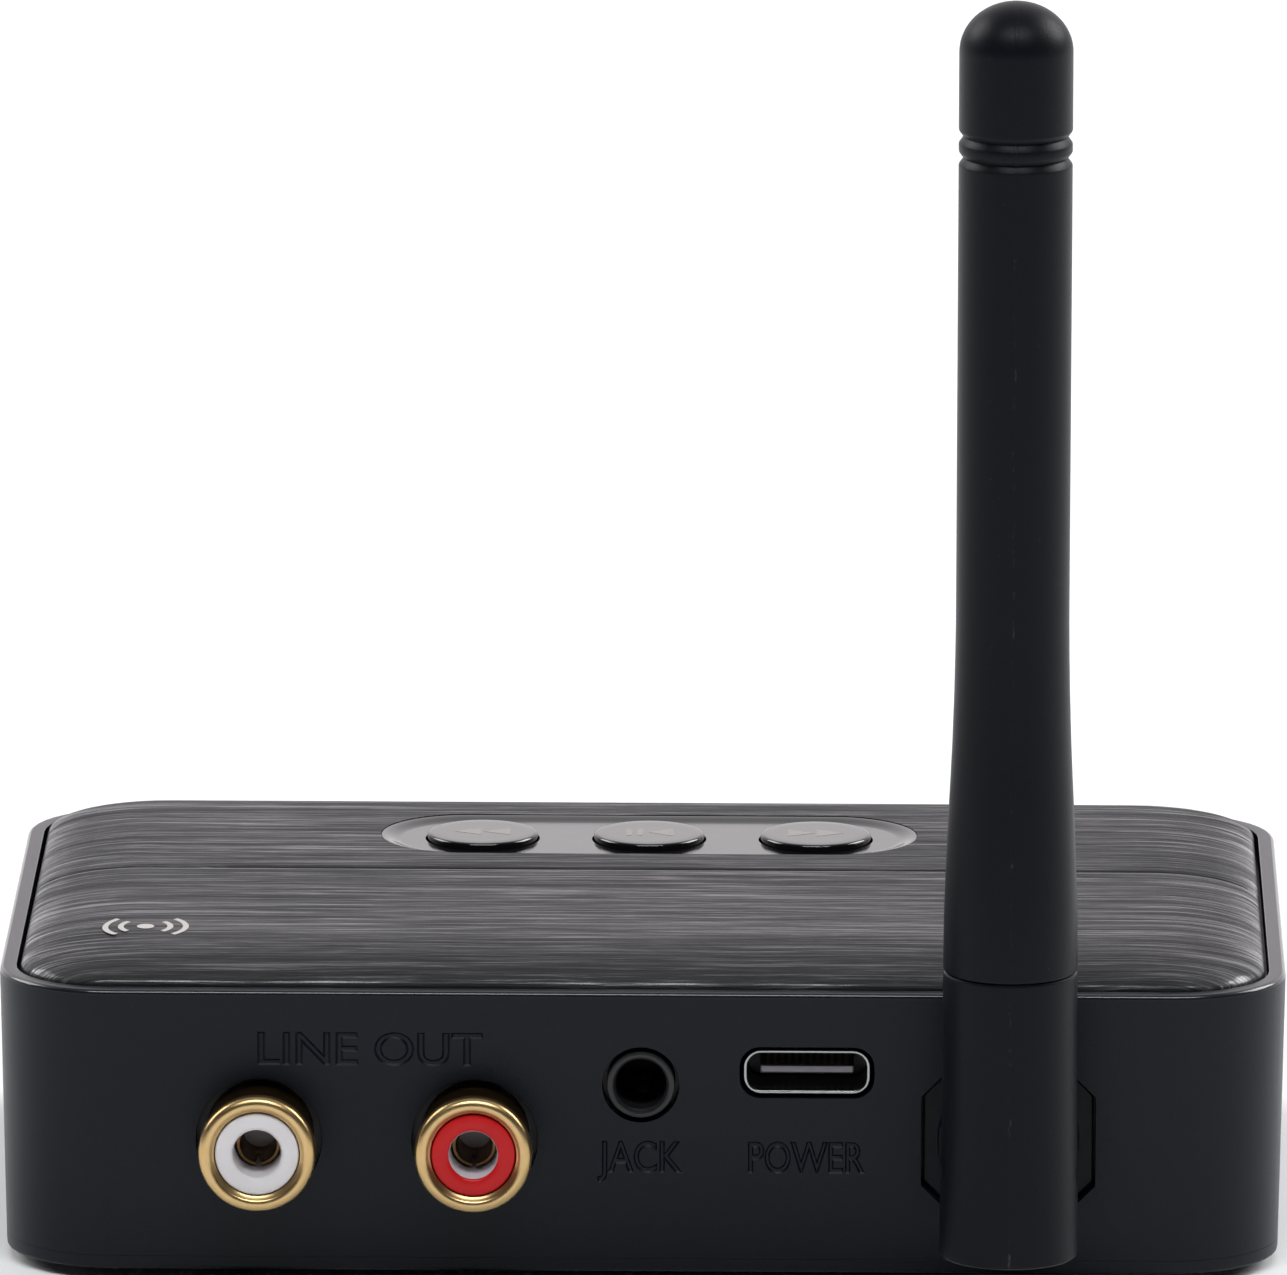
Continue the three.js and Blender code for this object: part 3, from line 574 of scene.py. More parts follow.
def letters(text, cap_height):
    """Plain capitals as a solid with sloping edges, standing on Z, with their middle at the origin."""
    clear()
    bpy.ops.object.text_add()
    label = bpy.context.object
    label.data.body = text
    label.data.size = cap_height / 0.729
    label.data.extrude = 0.5 * mm
    label.data.bevel_depth = letter_slope
    label.data.bevel_resolution = 0
    label.data.offset = -letter_slope * 0.35
    label.data.resolution_u = 4
    label.data.align_x = "CENTER"
    bpy.ops.object.convert(target="MESH")
    label = bpy.context.object
    edit(label)
    select_all()
    bpy.ops.mesh.remove_doubles(threshold=0.002 * mm)
    bpy.ops.mesh.dissolve_limited(angle_limit=math.radians(1))
    face_out()
    return label


sunk = 0.16 * mm


def wall_at(z):
    """Where the drafted rear wall stands at a height."""
    return rear_y + draft * (rim_z - z) / case_size.z


for text, x, base_z, cap, width in (
    ("LINE OUT", -19.15 * mm, 15.85 * mm, 2.4 * mm, 15.9 * mm),
    ("JACK", 0, 8.15 * mm, 2.3 * mm, 6.1 * mm),
    ("POWER", 11.6 * mm, 8.15 * mm, 2.3 * mm, 8.3 * mm),
):
    label = letters(text, cap)
    stretch = width / label.dimensions.x
    label.scale = (stretch, 1, 1)
    # the letters' back stands this far into the wall, and the rest of them is outside it
    turn_to(label, facing_rear, (x, wall_at(base_z + cap / 2) + sunk - 0.5 * mm - letter_slope, base_z))
    boolean(housing, label, tangled=True)


def hole_edges(edge):
    """The edges of the rear wall's openings, and of its lettering, on the outer face."""
    ends = [v.co for v in edge.verts]
    if not all(abs(c.y - wall_at(c.z)) < 0.03 * mm and abs(c.x) < 40 * mm for c in ends):
        return False
    if len(edge.link_faces) != 2:
        return False
    return abs(edge.link_faces[0].normal.dot(edge.link_faces[1].normal)) < 0.5 and all(
        case_low.z + 1 * mm < c.z < rim_z - 1.2 * mm for c in ends
    )


def round_hole_edge(edge):
    """Those of the openings alone: the lettering is finer than the rounding."""
    if not hole_edges(edge):
        return False
    c = (edge.verts[0].co + edge.verts[1].co) / 2
    for place, reach in ((phono_places[0], 4.6), (phono_places[1], 4.6), (aux_place, 2.9), (pivot, 7)):
        if (Vector((c.x, c.z)) - Vector((place.x, place.z))).length < reach * mm:
            return True
    return abs(c.x - usb_place.x) < 4.9 * mm and abs(c.z - usb_place.z) < 2 * mm


soften(housing, round_hole_edge, 0.12 * mm, 2)

charcoal = Finish("charcoal_moulding", Specular_IOR_Level=0.22)
grain = charcoal.noise(9000, 3, 0.6)
cloud = charcoal.noise(60, 4, 0.55)
dust = 1 - charcoal.specks(900).between(0.0, 0.05)
charcoal.set("Base Color", charcoal.mixed(
    dust * 0.25,
    charcoal.mixed(cloud, (0.0028, 0.0040, 0.0084), (0.0042, 0.0056, 0.0108)),
    (0.05, 0.05, 0.055),
))
charcoal.set("Roughness", 0.28 + grain * 0.12 + cloud * 0.06)
upward = charcoal.axes()[2]
polished = upward.between(rim_z - 0.36 * mm, rim_z - 0.24 * mm) * (0.9 - (upward > rim_z - 0.02 * mm) * 0.65)
charcoal.set("Coat Weight", polished)
charcoal.shader.inputs["Coat Roughness"].default_value = 0.15
charcoal.relief(grain, 0.012 * mm)
finished(housing, charcoal, "case", ("main_housing",), 30)

# ----------------------------------------
# Bottom cover: a charcoal plate whose rim carries on the housing's walls below a fine seam. Four
# screws in counterbores pull it up against the housing's bosses, and it is recessed for the feet.
cover_low, cover_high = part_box("bottom_cover")
base_z = cover_low.z
edge_top = case_low.z - 0.02 * mm
foot_places = [middle_of("foot_" + name) for name in corner_names]
screw_places = [middle_of("case_screw_" + name) for name in corner_names]

underside = block("underside", (case_low.x, case_low.y, base_z), (case_high.x, case_high.y, edge_top))
round_corners(underside, corner, 10)
edit(underside)
pick(underside, "faces", flat_at(base_z))
draw_in(1 - 2 * 0.4 * mm / case_size.x, 1 - 2 * 0.4 * mm / case_size.y, case_middle)
pick(underside, "faces", flat_at(edge_top))
draw_in(1 - 2 * draft / case_size.x, 1 - 2 * draft / case_size.y, case_middle)
bpy.ops.mesh.inset(thickness=side_wall + 0.15 * mm)
raise_faces(cover_high.z - edge_top)
done()
soften(underside, flat_at(base_z), 0.3 * mm, 3)
for place in foot_places:
    bored(underside, place, 4.1 * mm, -2 * mm, base_z + 0.5 * mm, 48)
for place in screw_places:
    sink = turned("sink", [(2.8 * mm, -2 * mm)] + rings(base_z, (2.8, 0), (2.5, 0.3), (2.5, 0.8)), 40)
    boolean(underside, move_to(sink, place.x, place.y))
    bored(underside, place, 1.4 * mm, -2 * mm, base_z + 3 * mm, 24)
finished(underside, charcoal, "case", ("bottom_cover",), 30)

# ----------------------------------------
# Feet: four flat discs of black rubber with a rounded rim, glued into the bottom cover's seats.
rubber = Finish("foot_rubber", Roughness=0.85, Specular_IOR_Level=0.25)
rubber_grain = rubber.noise(4500, 4, 0.65)
rubber.set("Base Color", rubber.mixed(rubber.noise(300, 3), (0.012, 0.012, 0.0125), (0.026, 0.026, 0.027)))
rubber.set("Roughness", 0.78 + rubber_grain * 0.15)
rubber.relief(rubber_grain, 0.03 * mm)
for name in corner_names:
    low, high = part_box("foot_" + name)
    radius = (high.x - low.x) / 2
    edge = ((1.2, 0.12), (0.9, 0), (0.35, 0), (0.1, 0.1), (0, 0.35))
    profile = [(radius - inset * mm, rise * mm) for inset, rise in edge] + [(radius, high.z - low.z)]
    foot = turned("rubber_" + name, profile, 48)
    move_to(foot, (low.x + high.x) / 2, (low.y + high.y) / 2, low.z)
    finished(foot, rubber, "case", ("foot_" + name,), 40)

# ----------------------------------------
# Case screws: cross-head self-tapping screws of bright zinc-plated steel, driven up from below.
zinc = Finish("zinc_plated_steel", Metallic=1.0)
zinc_cloud = zinc.noise(900, 4, 0.6)
zinc.toned(zinc_cloud, (0.42, 0.43, 0.45), (0.62, 0.63, 0.64), 0.24, 0.2)
zinc.relief(zinc.noise(7000, 2), 0.006 * mm)
for name, place in zip(corner_names, screw_places):
    low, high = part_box("case_screw_" + name)
    threads = []
    turn_z = low.z + 1.6 * mm
    while turn_z < high.z - 1.2 * mm:
        threads += rings(turn_z, (0.92, 0), (1.13, 0.22), (0.92, 0.44))
        turn_z += 0.62 * mm
    head = rings(low.z, (1.7, 0), (2.15, 0.12), (2.3, 0.35), (2.3, 0.68), (1.15, 0.68), (1.15, 1.4))
    point = rings(high.z, (0.9, -0.8), (0.35, 0))
    screw = turned("screw_" + name, head + threads + point, 32)
    move_to(screw, place.x, place.y)
    for half_x, half_y in ((0.3, 1.35), (1.35, 0.3)):
        recess = block(
            "recess",
            (place.x - half_x * mm, place.y - half_y * mm, low.z - 1 * mm),
            (place.x + half_x * mm, place.y + half_y * mm, low.z + 0.5 * mm),
        )
        edit(recess)
        pick(recess, "faces", flat_at(low.z + 0.5 * mm))
        draw_in(0.6, 0.6, (place.x, place.y, 0))
        done()
        boolean(screw, recess)
    finished(screw, zinc, "case", ("case_screw_" + name,), 35)

# ----------------------------------------
# Top cover: a shallow domed lid with a dark film of fine horizontal grain, sunk in the housing's
# rim with a hair gap. A V groove crosses it, and a long round-ended opening takes the button bar.
lid_low, lid_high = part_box("top_cover")
lid_size = lid_high - lid_low
lid_corner = 6.53 * mm
dome_start = rim_z - 0.15 * mm
dome_width = 8 * mm
dome_rise = lid_high.z - dome_start
tray_low, tray_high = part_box("button_tray")
bar_place = (tray_low + tray_high) / 2
bar_width, bar_depth = 38.8 * mm, 12.5 * mm
bar_floor = tray_high.z
groove_y = bar_place.y - 11 * mm

lid = block("lid", lid_low, (lid_high.x, lid_high.y, dome_start))
round_corners(lid, lid_corner, 12)
edit(lid)
pick(lid, "faces", flat_at(dome_start))
steps = 14
dome = [
    (dome_width * (1 - math.cos(i / steps * math.pi / 2)), dome_rise * math.sin(i / steps * math.pi / 2))
    for i in range(steps + 1)
]
for (inset_before, low), (inset_now, high) in zip(dome, dome[1:]):
    raise_faces(high - low)
    draw_in(
        (lid_size.x - 2 * inset_now) / (lid_size.x - 2 * inset_before),
        (lid_size.y - 2 * inset_now) / (lid_size.y - 2 * inset_before),
        case_middle,
    )
bpy.ops.mesh.inset(thickness=0.6 * mm)
pick(lid, "faces", flat_at(lid_low.z))
bpy.ops.mesh.inset(thickness=1.5 * mm)
raise_faces(20.9 * mm - lid_low.z)
bpy.ops.mesh.inset(thickness=4 * mm)
raise_faces(21.75 * mm - 20.9 * mm)
done()


def bar_outline(name, width, depth, low, high):
    """A disc whose two halves are moved apart: a bar with round ends."""
    bar = turned(name, [(depth / 2, low), (depth / 2, high)], 64)
    edit(bar)
    for side in (-1, 1):
        pick(bar, "verts", lambda v: v.co.x * side > 0.01 * mm)
        bpy.ops.transform.translate(value=(side * (width - depth) / 2, 0, 0))
    done()
    return move_to(bar, bar_place.x, bar_place.y, 0)


bar_play = 0.1 * mm
opening = (lid_low.z - 1 * mm, lid_high.z + 1 * mm)
boolean(lid, bar_outline("opening", bar_width + bar_play, bar_depth + bar_play, *opening))

# the groove's cutter: a V with flared lips, drawn along the dome's own profile from gap to gap
side_line = [(-(lid_size.x / 2 - inset), dome_start + rise) for inset, rise in dome[1:]]
skirt = [(-lid_size.x / 2 - 0.02 * mm, dome_start - 0.9 * mm), (-lid_size.x / 2 - 0.01 * mm, dome_start)]
side_line = skirt + side_line
path = side_line + [(-x, z) for x, z in reversed(side_line)]
flare = [
    (0.12, -0.24), (0.2, -0.13), (0.28, -0.075), (0.42, -0.035), (0.62, -0.01), (0.85, 0.004), (0.95, 0.5)
]
section = [(-across, rise) for across, rise in reversed(flare)] + [(0, -0.3)] + flare
clear()
bpy.ops.mesh.primitive_circle_add(vertices=len(section), radius=1 * mm, fill_type="NGON")
cutter = bpy.context.object
cutter.name = "groove_cutter"
edit(cutter)


def lay_section(piece, x, z, lean):
    """Puts the selected ring of the cutter at a point of the path, square to it."""
    mesh = bmesh.from_edit_mesh(piece.data)
    ring = sorted((v for v in mesh.verts if v.select), key=lambda v: v.index)
    out = Vector((-math.sin(lean), 0, math.cos(lean)))
    for v, (across_it, out_of_it) in zip(ring, section):
        v.co = Vector((x, groove_y + across_it * mm, z)) + out * out_of_it * mm
    bmesh.update_edit_mesh(piece.data)


select_all()
for index, (x, z) in enumerate(path):
    before = path[max(index - 1, 0)]
    after = path[min(index + 1, len(path) - 1)]
    if index:
        raise_faces(0)
        bmesh.from_edit_mesh(cutter.data).verts.index_update()
    lay_section(cutter, x, z, math.atan2(after[1] - before[1], after[0] - before[0]))
face_out()
boolean(lid, cutter)

film = Finish("grained_film", Specular_IOR_Level=0.42)
waver = film.noise(60, 2, 0.5)
bent = film.node(
    "ShaderNodeVectorMath",
    {"operation": "ADD"},
    film.place,
    film.node("ShaderNodeCombineXYZ", {}, 0, waver * (0.6 * mm), 0),
)


def streaks(detail, roughness, scale):
    """Noise drawn out into lines along X."""
    return film.noise(1, detail, roughness, film.node("ShaderNodeMapping", {}, Vector=bent, Scale=scale))


fine = streaks(3, 0.7, (150, 6000, 500))
broad = streaks(3, 0.65, (60, 2800, 300))
long_streak = streaks(2, 0.5, (30, 1000, 150))
streak = (fine * 0.42 + broad * 0.38 + long_streak * 0.20).between(0.41, 0.59)
across, up = film.axes()[1:]
# a band just in front of the groove is painted paler, smoother and more metallic: a painted highlight on the
# groove's near lip
painted_lip_highlight = (across - (groove_y - 0.48 * mm)).size() < 0.22 * mm
film.set("Base Color", film.mixed(painted_lip_highlight, film.colors(
    streak,
    (0.10, (0.0015, 0.0015, 0.0024)),
    (0.45, (0.004, 0.0040, 0.0054)),
    (0.70, (0.014, 0.0135, 0.017)),
    (0.95, (0.09, 0.085, 0.095)),
), (0.17, 0.165, 0.175)))
film.set("Metallic", streak.between(0.45, 1.0) * 0.3 + painted_lip_highlight * 0.35)
film.set("Roughness", 0.74 - streak * 0.44 - painted_lip_highlight * 0.12)
low_edge = (dome_start + 1.7 * mm - up).between(0, 1.1 * mm)
film.set("Coat Weight", low_edge * (0.1 + streak.between(0.35, 0.8) * 0.8))
film.shader.inputs["Coat Roughness"].default_value = 0.18
film.relief(streak, 0.04 * mm)
finished(lid, film, "case", ("top_cover",), 30)

# ----------------------------------------
# Broadcast mark: three pale arcs and a dot printed on the lid's rear corner, a generic sign for
# the touch-pairing coil that lies under it.
ink = Finish("pale_print", Roughness=0.5)
ink.set("Base Color", ink.mixed(ink.noise(2500, 3), (0.46, 0.42, 0.40), (0.56, 0.52, 0.50)))
mark_place = Vector((-35.3 * mm, -11.4 * mm, 0))


def dome_height(x, y):
    """The lid's top at a place, from its rings."""
    inset = min(lid_size.x / 2 - abs(x), lid_size.y / 2 - abs(y - middle_y))
    if inset >= dome_width:
        return lid_high.z
    return dome_start + dome_rise * math.sqrt(max(0, 1 - (1 - inset / dome_width) ** 2))


def printed(name, drawing):
    """Lays a flat drawing on the lid: each point is dropped onto the dome, a hair proud of it."""
    mesh = drawing.data
    for v in mesh.vertices:
        v.co.z = dome_height(v.co.x, v.co.y) + 0.02 * mm
    finished(drawing, ink, "case", (), 60)


strokes = []
clear()
bpy.ops.mesh.primitive_circle_add(vertices=24, radius=0.62 * mm, fill_type="NGON")
strokes.append(bpy.context.object)
for reach in (1.55 * mm, 2.65 * mm):
    for side in (0, math.pi):
        clear()
        bpy.ops.mesh.primitive_circle_add(vertices=72, radius=reach, fill_type="NOTHING")
        arc = bpy.context.object
        edit(arc)
        pick(arc, "verts", lambda v: v.co.x < 0.66 * reach)
        bpy.ops.mesh.delete(type="VERT")
        select_all()
        raise_faces(0)
        draw_in((reach + 0.42 * mm) / reach, (reach + 0.42 * mm) / reach, (0, 0, 0))
        done()
        turn_to(arc, (0, 0, side), (0, 0, 0))
        strokes.append(arc)
mark = unite("broadcast_mark", *strokes)
mark.scale = (1, 1.15, 1)
turn_to(mark, (0, 0, 0), mark_place)
edit(mark)
select_all()
bpy.ops.mesh.quads_convert_to_tris()
bpy.ops.mesh.subdivide(number_cuts=1)
face_out()
printed("broadcast_mark", mark)

# ----------------------------------------
# Button bar: a piano-black insert seated in the lid's opening. Its floor lies just under the lid
# and has three holes, and a flange under the lid keeps it in.
tray = bar_outline("bar_insert", bar_width, bar_depth, bar_floor - 1.2 * mm, lid_high.z - 0.05 * mm)
edit(tray)
pick(tray, "faces", flat_at(lid_high.z - 0.05 * mm))
dish = lid_high.z - 0.05 * mm - bar_floor
for inset, share in ((0.1, 0.02), (0.25, 0.14), (0.3, 0.3), (0.3, 0.3), (0.25, 0.18), (0.2, 0.06)):
    bpy.ops.mesh.inset(thickness=inset * mm)
    bpy.ops.transform.translate(value=(0, 0, -dish * share))
done()
flange = bar_outline("flange", bar_width + 2 * mm, bar_depth + 2 * mm, tray_low.z, tray_low.z + 0.6 * mm)
boolean(tray, flange, "UNION")
button_names = ("previous", "play", "next")
button_places = [middle_of(name + "_button") for name in button_names]
for place in button_places:
    bored(tray, place, 4.15 * mm, tray_low.z - 1 * mm, bar_floor + 1 * mm, 64)
gloss = Finish("piano_black", IOR=1.7)
smear = gloss.noise(140, 4, 0.6)
gloss.toned(smear, (0.004, 0.004, 0.0045), (0.007, 0.007, 0.0075), 0.07, 0.1)
gloss.relief(gloss.noise(260, 2), 0.01 * mm)
finished(tray, gloss, "case", ("button_tray",), 30)

# ----------------------------------------
# Buttons: three piano-black caps, each a cup with a flange that holds it under the bar and a stem
# that meets its switch. Their signs are pale prints, which ride on the caps.
button_low, button_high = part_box("play_button")
flange_top = tray_low.z - 0.05 * mm
cap_top = button_high.z
cap = turned(
    "cap",
    rings(button_low.z, (1.2, 0))
    + rings(cap_top, (1.2, -1.2), (2.72, -1.2))
    + rings(flange_top, (2.72, -0.5), (4.7, -0.5), (4.7, 0), (4, 0))
    + rings(cap_top, (4, -0.2), (3.98, -0.13), (3.93, -0.06), (3.84, -0.015), (3.7, 0), (3, 0)),
    96,
)
print_ink = Finish("warm_print", Roughness=0.12)
print_tone = print_ink.noise(3000, 3)
print_ink.set("Base Color", print_ink.mixed(print_tone, (0.10, 0.078, 0.058), (0.15, 0.118, 0.09)))


sign_height = 2.1 * mm


def stroke(x, width, towards):
    """A bar of a sign, or an arrowhead that points along X where `towards` is -1 or 1."""
    clear()
    bpy.ops.mesh.primitive_plane_add(size=1, location=(x, 0, 0))
    bar = bpy.context.object
    bar.scale = (width, sign_height, 1)
    bpy.ops.object.transform_apply(location=True, rotation=True, scale=True)
    edit(bar)
    select_all()
    bpy.ops.mesh.subdivide(number_cuts=1)
    if towards:
        pick(bar, "verts", lambda v: (v.co.x - x) * towards > 0.4 * width)
        bpy.ops.transform.resize(value=(1, 0.04, 1), center_override=(x, 0, 0))
        pick(bar, "verts", lambda v: abs(v.co.x - x) < 0.1 * width)
        bpy.ops.transform.resize(value=(1, 0.52, 1), center_override=(x, 0, 0))
    done()
    return bar


# each sign's strokes: their middle and width in millimetres, and the way that they point
signs = {
    "previous": ((-1.05, 1.9, -1), (1.05, 1.9, -1)),
    "play": ((-1.45, 0.4, 0), (-0.65, 0.4, 0), (0.75, 1.5, -1), (1.65, 0.22, 0)),
    "next": ((-1.05, 1.9, 1), (1.05, 1.9, 1)),
}
for name, place in zip(button_names, button_places):
    shown = copy_of(cap, name + "_cap", (place.x, place.y, 0))
    finished(shown, gloss, name + "_key", (name + "_button",), 30)
    sign = unite(name + "_sign", *[stroke(x * mm, width * mm, way) for x, width, way in signs[name]])
    move_to(sign, place.x, place.y, cap_top + 0.01 * mm)
    edit(sign)
    face_out()
    finished(sign, print_ink, name + "_key", (), 60)
bpy.data.objects.remove(cap)

# ----------------------------------------
# Phono sockets: two gold-plated brass shells with a rolled lip, each with a white or red plastic
# insert round a sprung centre contact. They stand out of the rear wall from a black socket block.
gold = Finish("gold_plate", Metallic=1.0)
gold_wear = gold.noise(700, 4, 0.6)
gold_turning = gold.noise(1, 2, 0.5, gold.stretched(300, 9000, 300))
gold.set("Base Color", gold.mixed(gold_wear, (0.60, 0.40, 0.17), (0.74, 0.53, 0.26)))
gold.set("Roughness", 0.22 + gold_wear * 0.1 + gold_turning * 0.08)
gold.relief(gold_turning, 0.006 * mm)
# a brass darker and browner than the gold: painted shade for the parts that sit back in shadow, which are
# the shells' barrels behind their lips, the centre contacts and the power socket's contacts
brass = Finish("brass_painted_shade", Metallic=1.0)
brass_wear = brass.noise(900, 4, 0.6)
brass.toned(brass_wear, (0.16, 0.09, 0.038), (0.26, 0.155, 0.066), 0.3, 0.15)
ivory = Finish("white_insert")
ivory_tone = ivory.noise(500, 3)
ivory.toned(ivory_tone, (0.80, 0.76, 0.77), (0.88, 0.85, 0.86), 0.3, 0.15)
ivory.relief(ivory.noise(3500, 2), 0.006 * mm)
crimson = Finish("red_insert", Specular_IOR_Level=0.3)
crimson_tone = crimson.noise(500, 3)
axes = crimson.axes()
from_axis_x = axes[0] - phono_places[1].x
from_axis_z = axes[2] - phono_places[1].z
liner = from_axis_x * from_axis_x + from_axis_z * from_axis_z < (1.74 * mm) ** 2
red = crimson.mixed(crimson_tone, (0.56, 0.005, 0.007), (0.68, 0.010, 0.012))
crimson.set("Base Color", crimson.mixed(liner, red, (0.80, 0.74, 0.77)))
crimson.set("Roughness", 0.3 + crimson_tone * 0.15)
crimson.relief(crimson.noise(3500, 2), 0.006 * mm)
phono_low, phono_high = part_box("phono_shell_left")
reach = rear_y - phono_low.y
back = rear_y - phono_high.y
lip_start = reach - 1.3 * mm
bore = 3.025
shell = turned(
    "shell",
    rings(back, (bore, 0), (3.8, 0))
    + rings(lip_start, (3.8, -0.35), (3.55, -0.3), (3.55, -0.02), (3.95, 0), (4.1, 0.1), (4.15, 0.3))
    + rings(reach, (4.15, -0.55), (4.09, -0.3), (3.93, -0.11), (3.68, 0), (3.42, -0.02))
    + rings(reach, (3.28, -0.12), (3.2, -0.28), (3.1, -0.34), (bore, -0.42)),
    96,
    closed=True,
)
insert_low, insert_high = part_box("phono_insert_left")
insert_face = rear_y - insert_low.y
insert_back = rear_y - insert_high.y
insert = turned(
    "insert",
    rings(insert_back, (2.955, 0))
    + rings(insert_face, (2.955, -0.14), (2.9, -0.05), (2.8, 0), (1.98, 0), (1.82, -0.06), (1.7, -0.25))
    + rings(insert_back, (1.7, 1.2), (1.5, 1.2)),
    64,
)
edit(insert)
pick(insert, "edges", lambda e: e.is_boundary)
bpy.ops.mesh.edge_face_add()
done()
contact_low, contact_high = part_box("phono_contact_left")
contact_face = rear_y - contact_low.y
contact_back = rear_y - contact_high.y
contact = turned(
    "contact",
    rings(contact_back, (1.2, 0), (1.55, 0), (1.55, 1.1), (1.46, 1.5))
    + rings(contact_face, (1.46, -0.5), (1.55, -0.12), (1.5, 0), (1.32, 0), (1.22, -0.3)),
    48,
    closed=True,
)
split_z = (contact_back + 1.2 * mm, contact_face + 1 * mm)
split = block("split", (-0.18 * mm, -2 * mm, split_z[0]), (0.18 * mm, 2 * mm, split_z[1]))
boolean(contact, split)
for side, place, plastic, slot in zip(
    ("left", "right"), phono_places, (ivory, crimson), ("white_plastic", "red_plastic")
):
    centre = (place.x, rear_y, place.z)
    ring = turn_to(copy_of(shell, "phono_ring_" + side), facing_rear, centre)
    finished(ring, gold, "case", ("phono_shell_" + side,), 38)
    # the barrel behind the lip takes the darker brass: painted shade
    ring.data.materials.append(brass.material)
    for face in ring.data.polygons:
        if centre[1] - face.center.y < lip_start - 0.01 * mm:
            face.material_index = 1
    core = turn_to(copy_of(insert, "phono_core_" + side), facing_rear, centre)
    finished(core, plastic, "case", ("phono_insert_" + side,), 38)
    # the centre contact takes the darker brass: painted shade
    pin = turn_to(copy_of(contact, "phono_pin_" + side), facing_rear, centre)
    finished(pin, brass, "case", ("phono_contact_" + side,), 38)
for spare in (shell, insert, contact):
    bpy.data.objects.remove(spare)

# ----------------------------------------
# Headphone socket: a black moulded body on the board with a round nose that fills the opening in
# the rear wall. A gold-plated leaf spring shows in its bore.
satin = Finish("satin_black")
satin_tone = satin.noise(400, 3)
satin.toned(satin_tone, (0.008, 0.008, 0.009), (0.014, 0.014, 0.015), 0.3, 0.16)
satin.relief(satin.noise(6000, 3), 0.006 * mm)
inner_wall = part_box("headphone_tip_spring")[0].y - 3.3 * mm
nose_face = rear_y - aux_low.y
jack = block("jack", (aux_low.x, inner_wall, aux_low.z), aux_high)
soften(jack, lambda e: True, 0.15 * mm, 1)
nose_lip = rings(
    nose_face, (2.4, -0.16), (2.35, -0.05), (2.24, 0), (2.08, 0), (1.98, -0.04), (1.93, -0.14)
)
nose = turned("nose", [(2.4 * mm, -2.8 * mm)] + nose_lip, 64)
boolean(jack, turn_to(nose, facing_rear, aux_place), "UNION")
jack_bore = turned(
    "bore", [(1.8 * mm, -10.5 * mm)] + rings(nose_face, (1.8, -0.3), (1.98, -0.05), (2.05, 1)), 64
)
boolean(jack, turn_to(jack_bore, facing_rear, aux_place))
slit = block(
    "slit",
    (aux_place.x - 0.9 * mm, inner_wall + 3 * mm, aux_low.z - 1 * mm),
    (aux_place.x + 0.9 * mm, inner_wall + 9.5 * mm, aux_place.z),
)
boolean(jack, slit)
finished(jack, satin, "case", ("headphone_socket",), 32)
leaf_low, leaf_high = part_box("headphone_tip_spring")
leaf = block("tip_spring", leaf_low, (leaf_high.x, leaf_high.y, leaf_low.z + 0.25 * mm))
edit(leaf)
select_all()
bpy.ops.mesh.subdivide(number_cuts=5)
pick(leaf, "verts", lambda v: near(v.co.y, (leaf_low.y + leaf_high.y) / 2, 0.6 * mm))
bpy.ops.transform.translate(value=(0, 0, 0.35 * mm))
done()
finished(leaf, gold, "case", ("headphone_tip_spring",), 50)

# ----------------------------------------
# Power socket: a seamless shell of bright drawn steel in the rear wall's opening, with a black
# tongue that carries the contacts on both its faces. A pale band along the tongue's front edge
# is its mid-plate, with a painted reflection on it.
steel = Finish("drawn_steel", Metallic=1.0)
steel_line = steel.noise(1, 3, 0.6, steel.stretched(2500, 200, 2500))
steel.toned(steel_line, (0.30, 0.30, 0.31), (0.46, 0.46, 0.47), 0.16, 0.14)
steel.relief(steel_line, 0.004 * mm)
shell_low, shell_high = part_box("power_socket_shell")
shell_width, shell_height = shell_high.x - shell_low.x, shell_high.z - shell_low.z
shell_front, shell_back = rear_y - shell_low.y, rear_y - shell_high.y
socket = rounded_bar("power_shell", shell_width, shell_height, 1.25 * mm, shell_back, shell_front, 8)
edit(socket)
pick(socket, "faces", flat_at(shell_front))
bpy.ops.mesh.inset(thickness=0.25 * mm)
raise_faces(shell_back + 1 * mm - shell_front)
done()


def shell_edge(edge):
    return flat_at(shell_front)(edge) and any(abs(face.normal.z) < 0.5 for face in edge.link_faces)


soften(socket, shell_edge, 0.09 * mm, 3)
turn_to(socket, facing_rear, (usb_place.x, rear_y, usb_place.z))
finished(socket, steel, "case", ("power_socket_shell",), 35)
pale = Finish("pale_tongue")
pale_tone = pale.noise(900, 3)
pale_y, pale_z = pale.axes()[1:]
# a pale band at mid-height along the tongue's front: the mid-plate's edge, painted lighter with a painted
# reflection
mid_plate_and_painted_reflection = ((pale_z - usb_place.z).size() < 0.2 * mm) * (pale_y < rear_y + 1.4 * mm)
pale.set("Base Color", pale.mixed(
    mid_plate_and_painted_reflection,
    pale.mixed(pale_tone, (0.006, 0.006, 0.007), (0.012, 0.012, 0.013)),
    pale.mixed(pale_tone, (0.22, 0.21, 0.24), (0.30, 0.29, 0.32)),
))
pale.set("Roughness", 0.36 + pale_tone * 0.15)
tongue_low, tongue_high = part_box("power_socket_tongue")
tongue = block(
    "power_tongue",
    (usb_place.x - 3.3 * mm, tongue_low.y, usb_place.z - 0.35 * mm),
    (usb_place.x + 3.3 * mm, tongue_high.y, usb_place.z + 0.35 * mm),
)
soften(tongue, lambda e: all(near(v.co.y, tongue_low.y) for v in e.verts), 0.14 * mm, 2)
root_width = tongue_high.x - tongue_low.x
root_height = tongue_high.z - tongue_low.z
root = rounded_bar("root", root_width, root_height, 1 * mm, 0, 1.5 * mm, 6)
boolean(tongue, turn_to(root, facing_rear, (usb_place.x, tongue_high.y, usb_place.z)), "UNION")
finished(tongue, pale, "case", ("power_socket_tongue",), 35)
strips = []
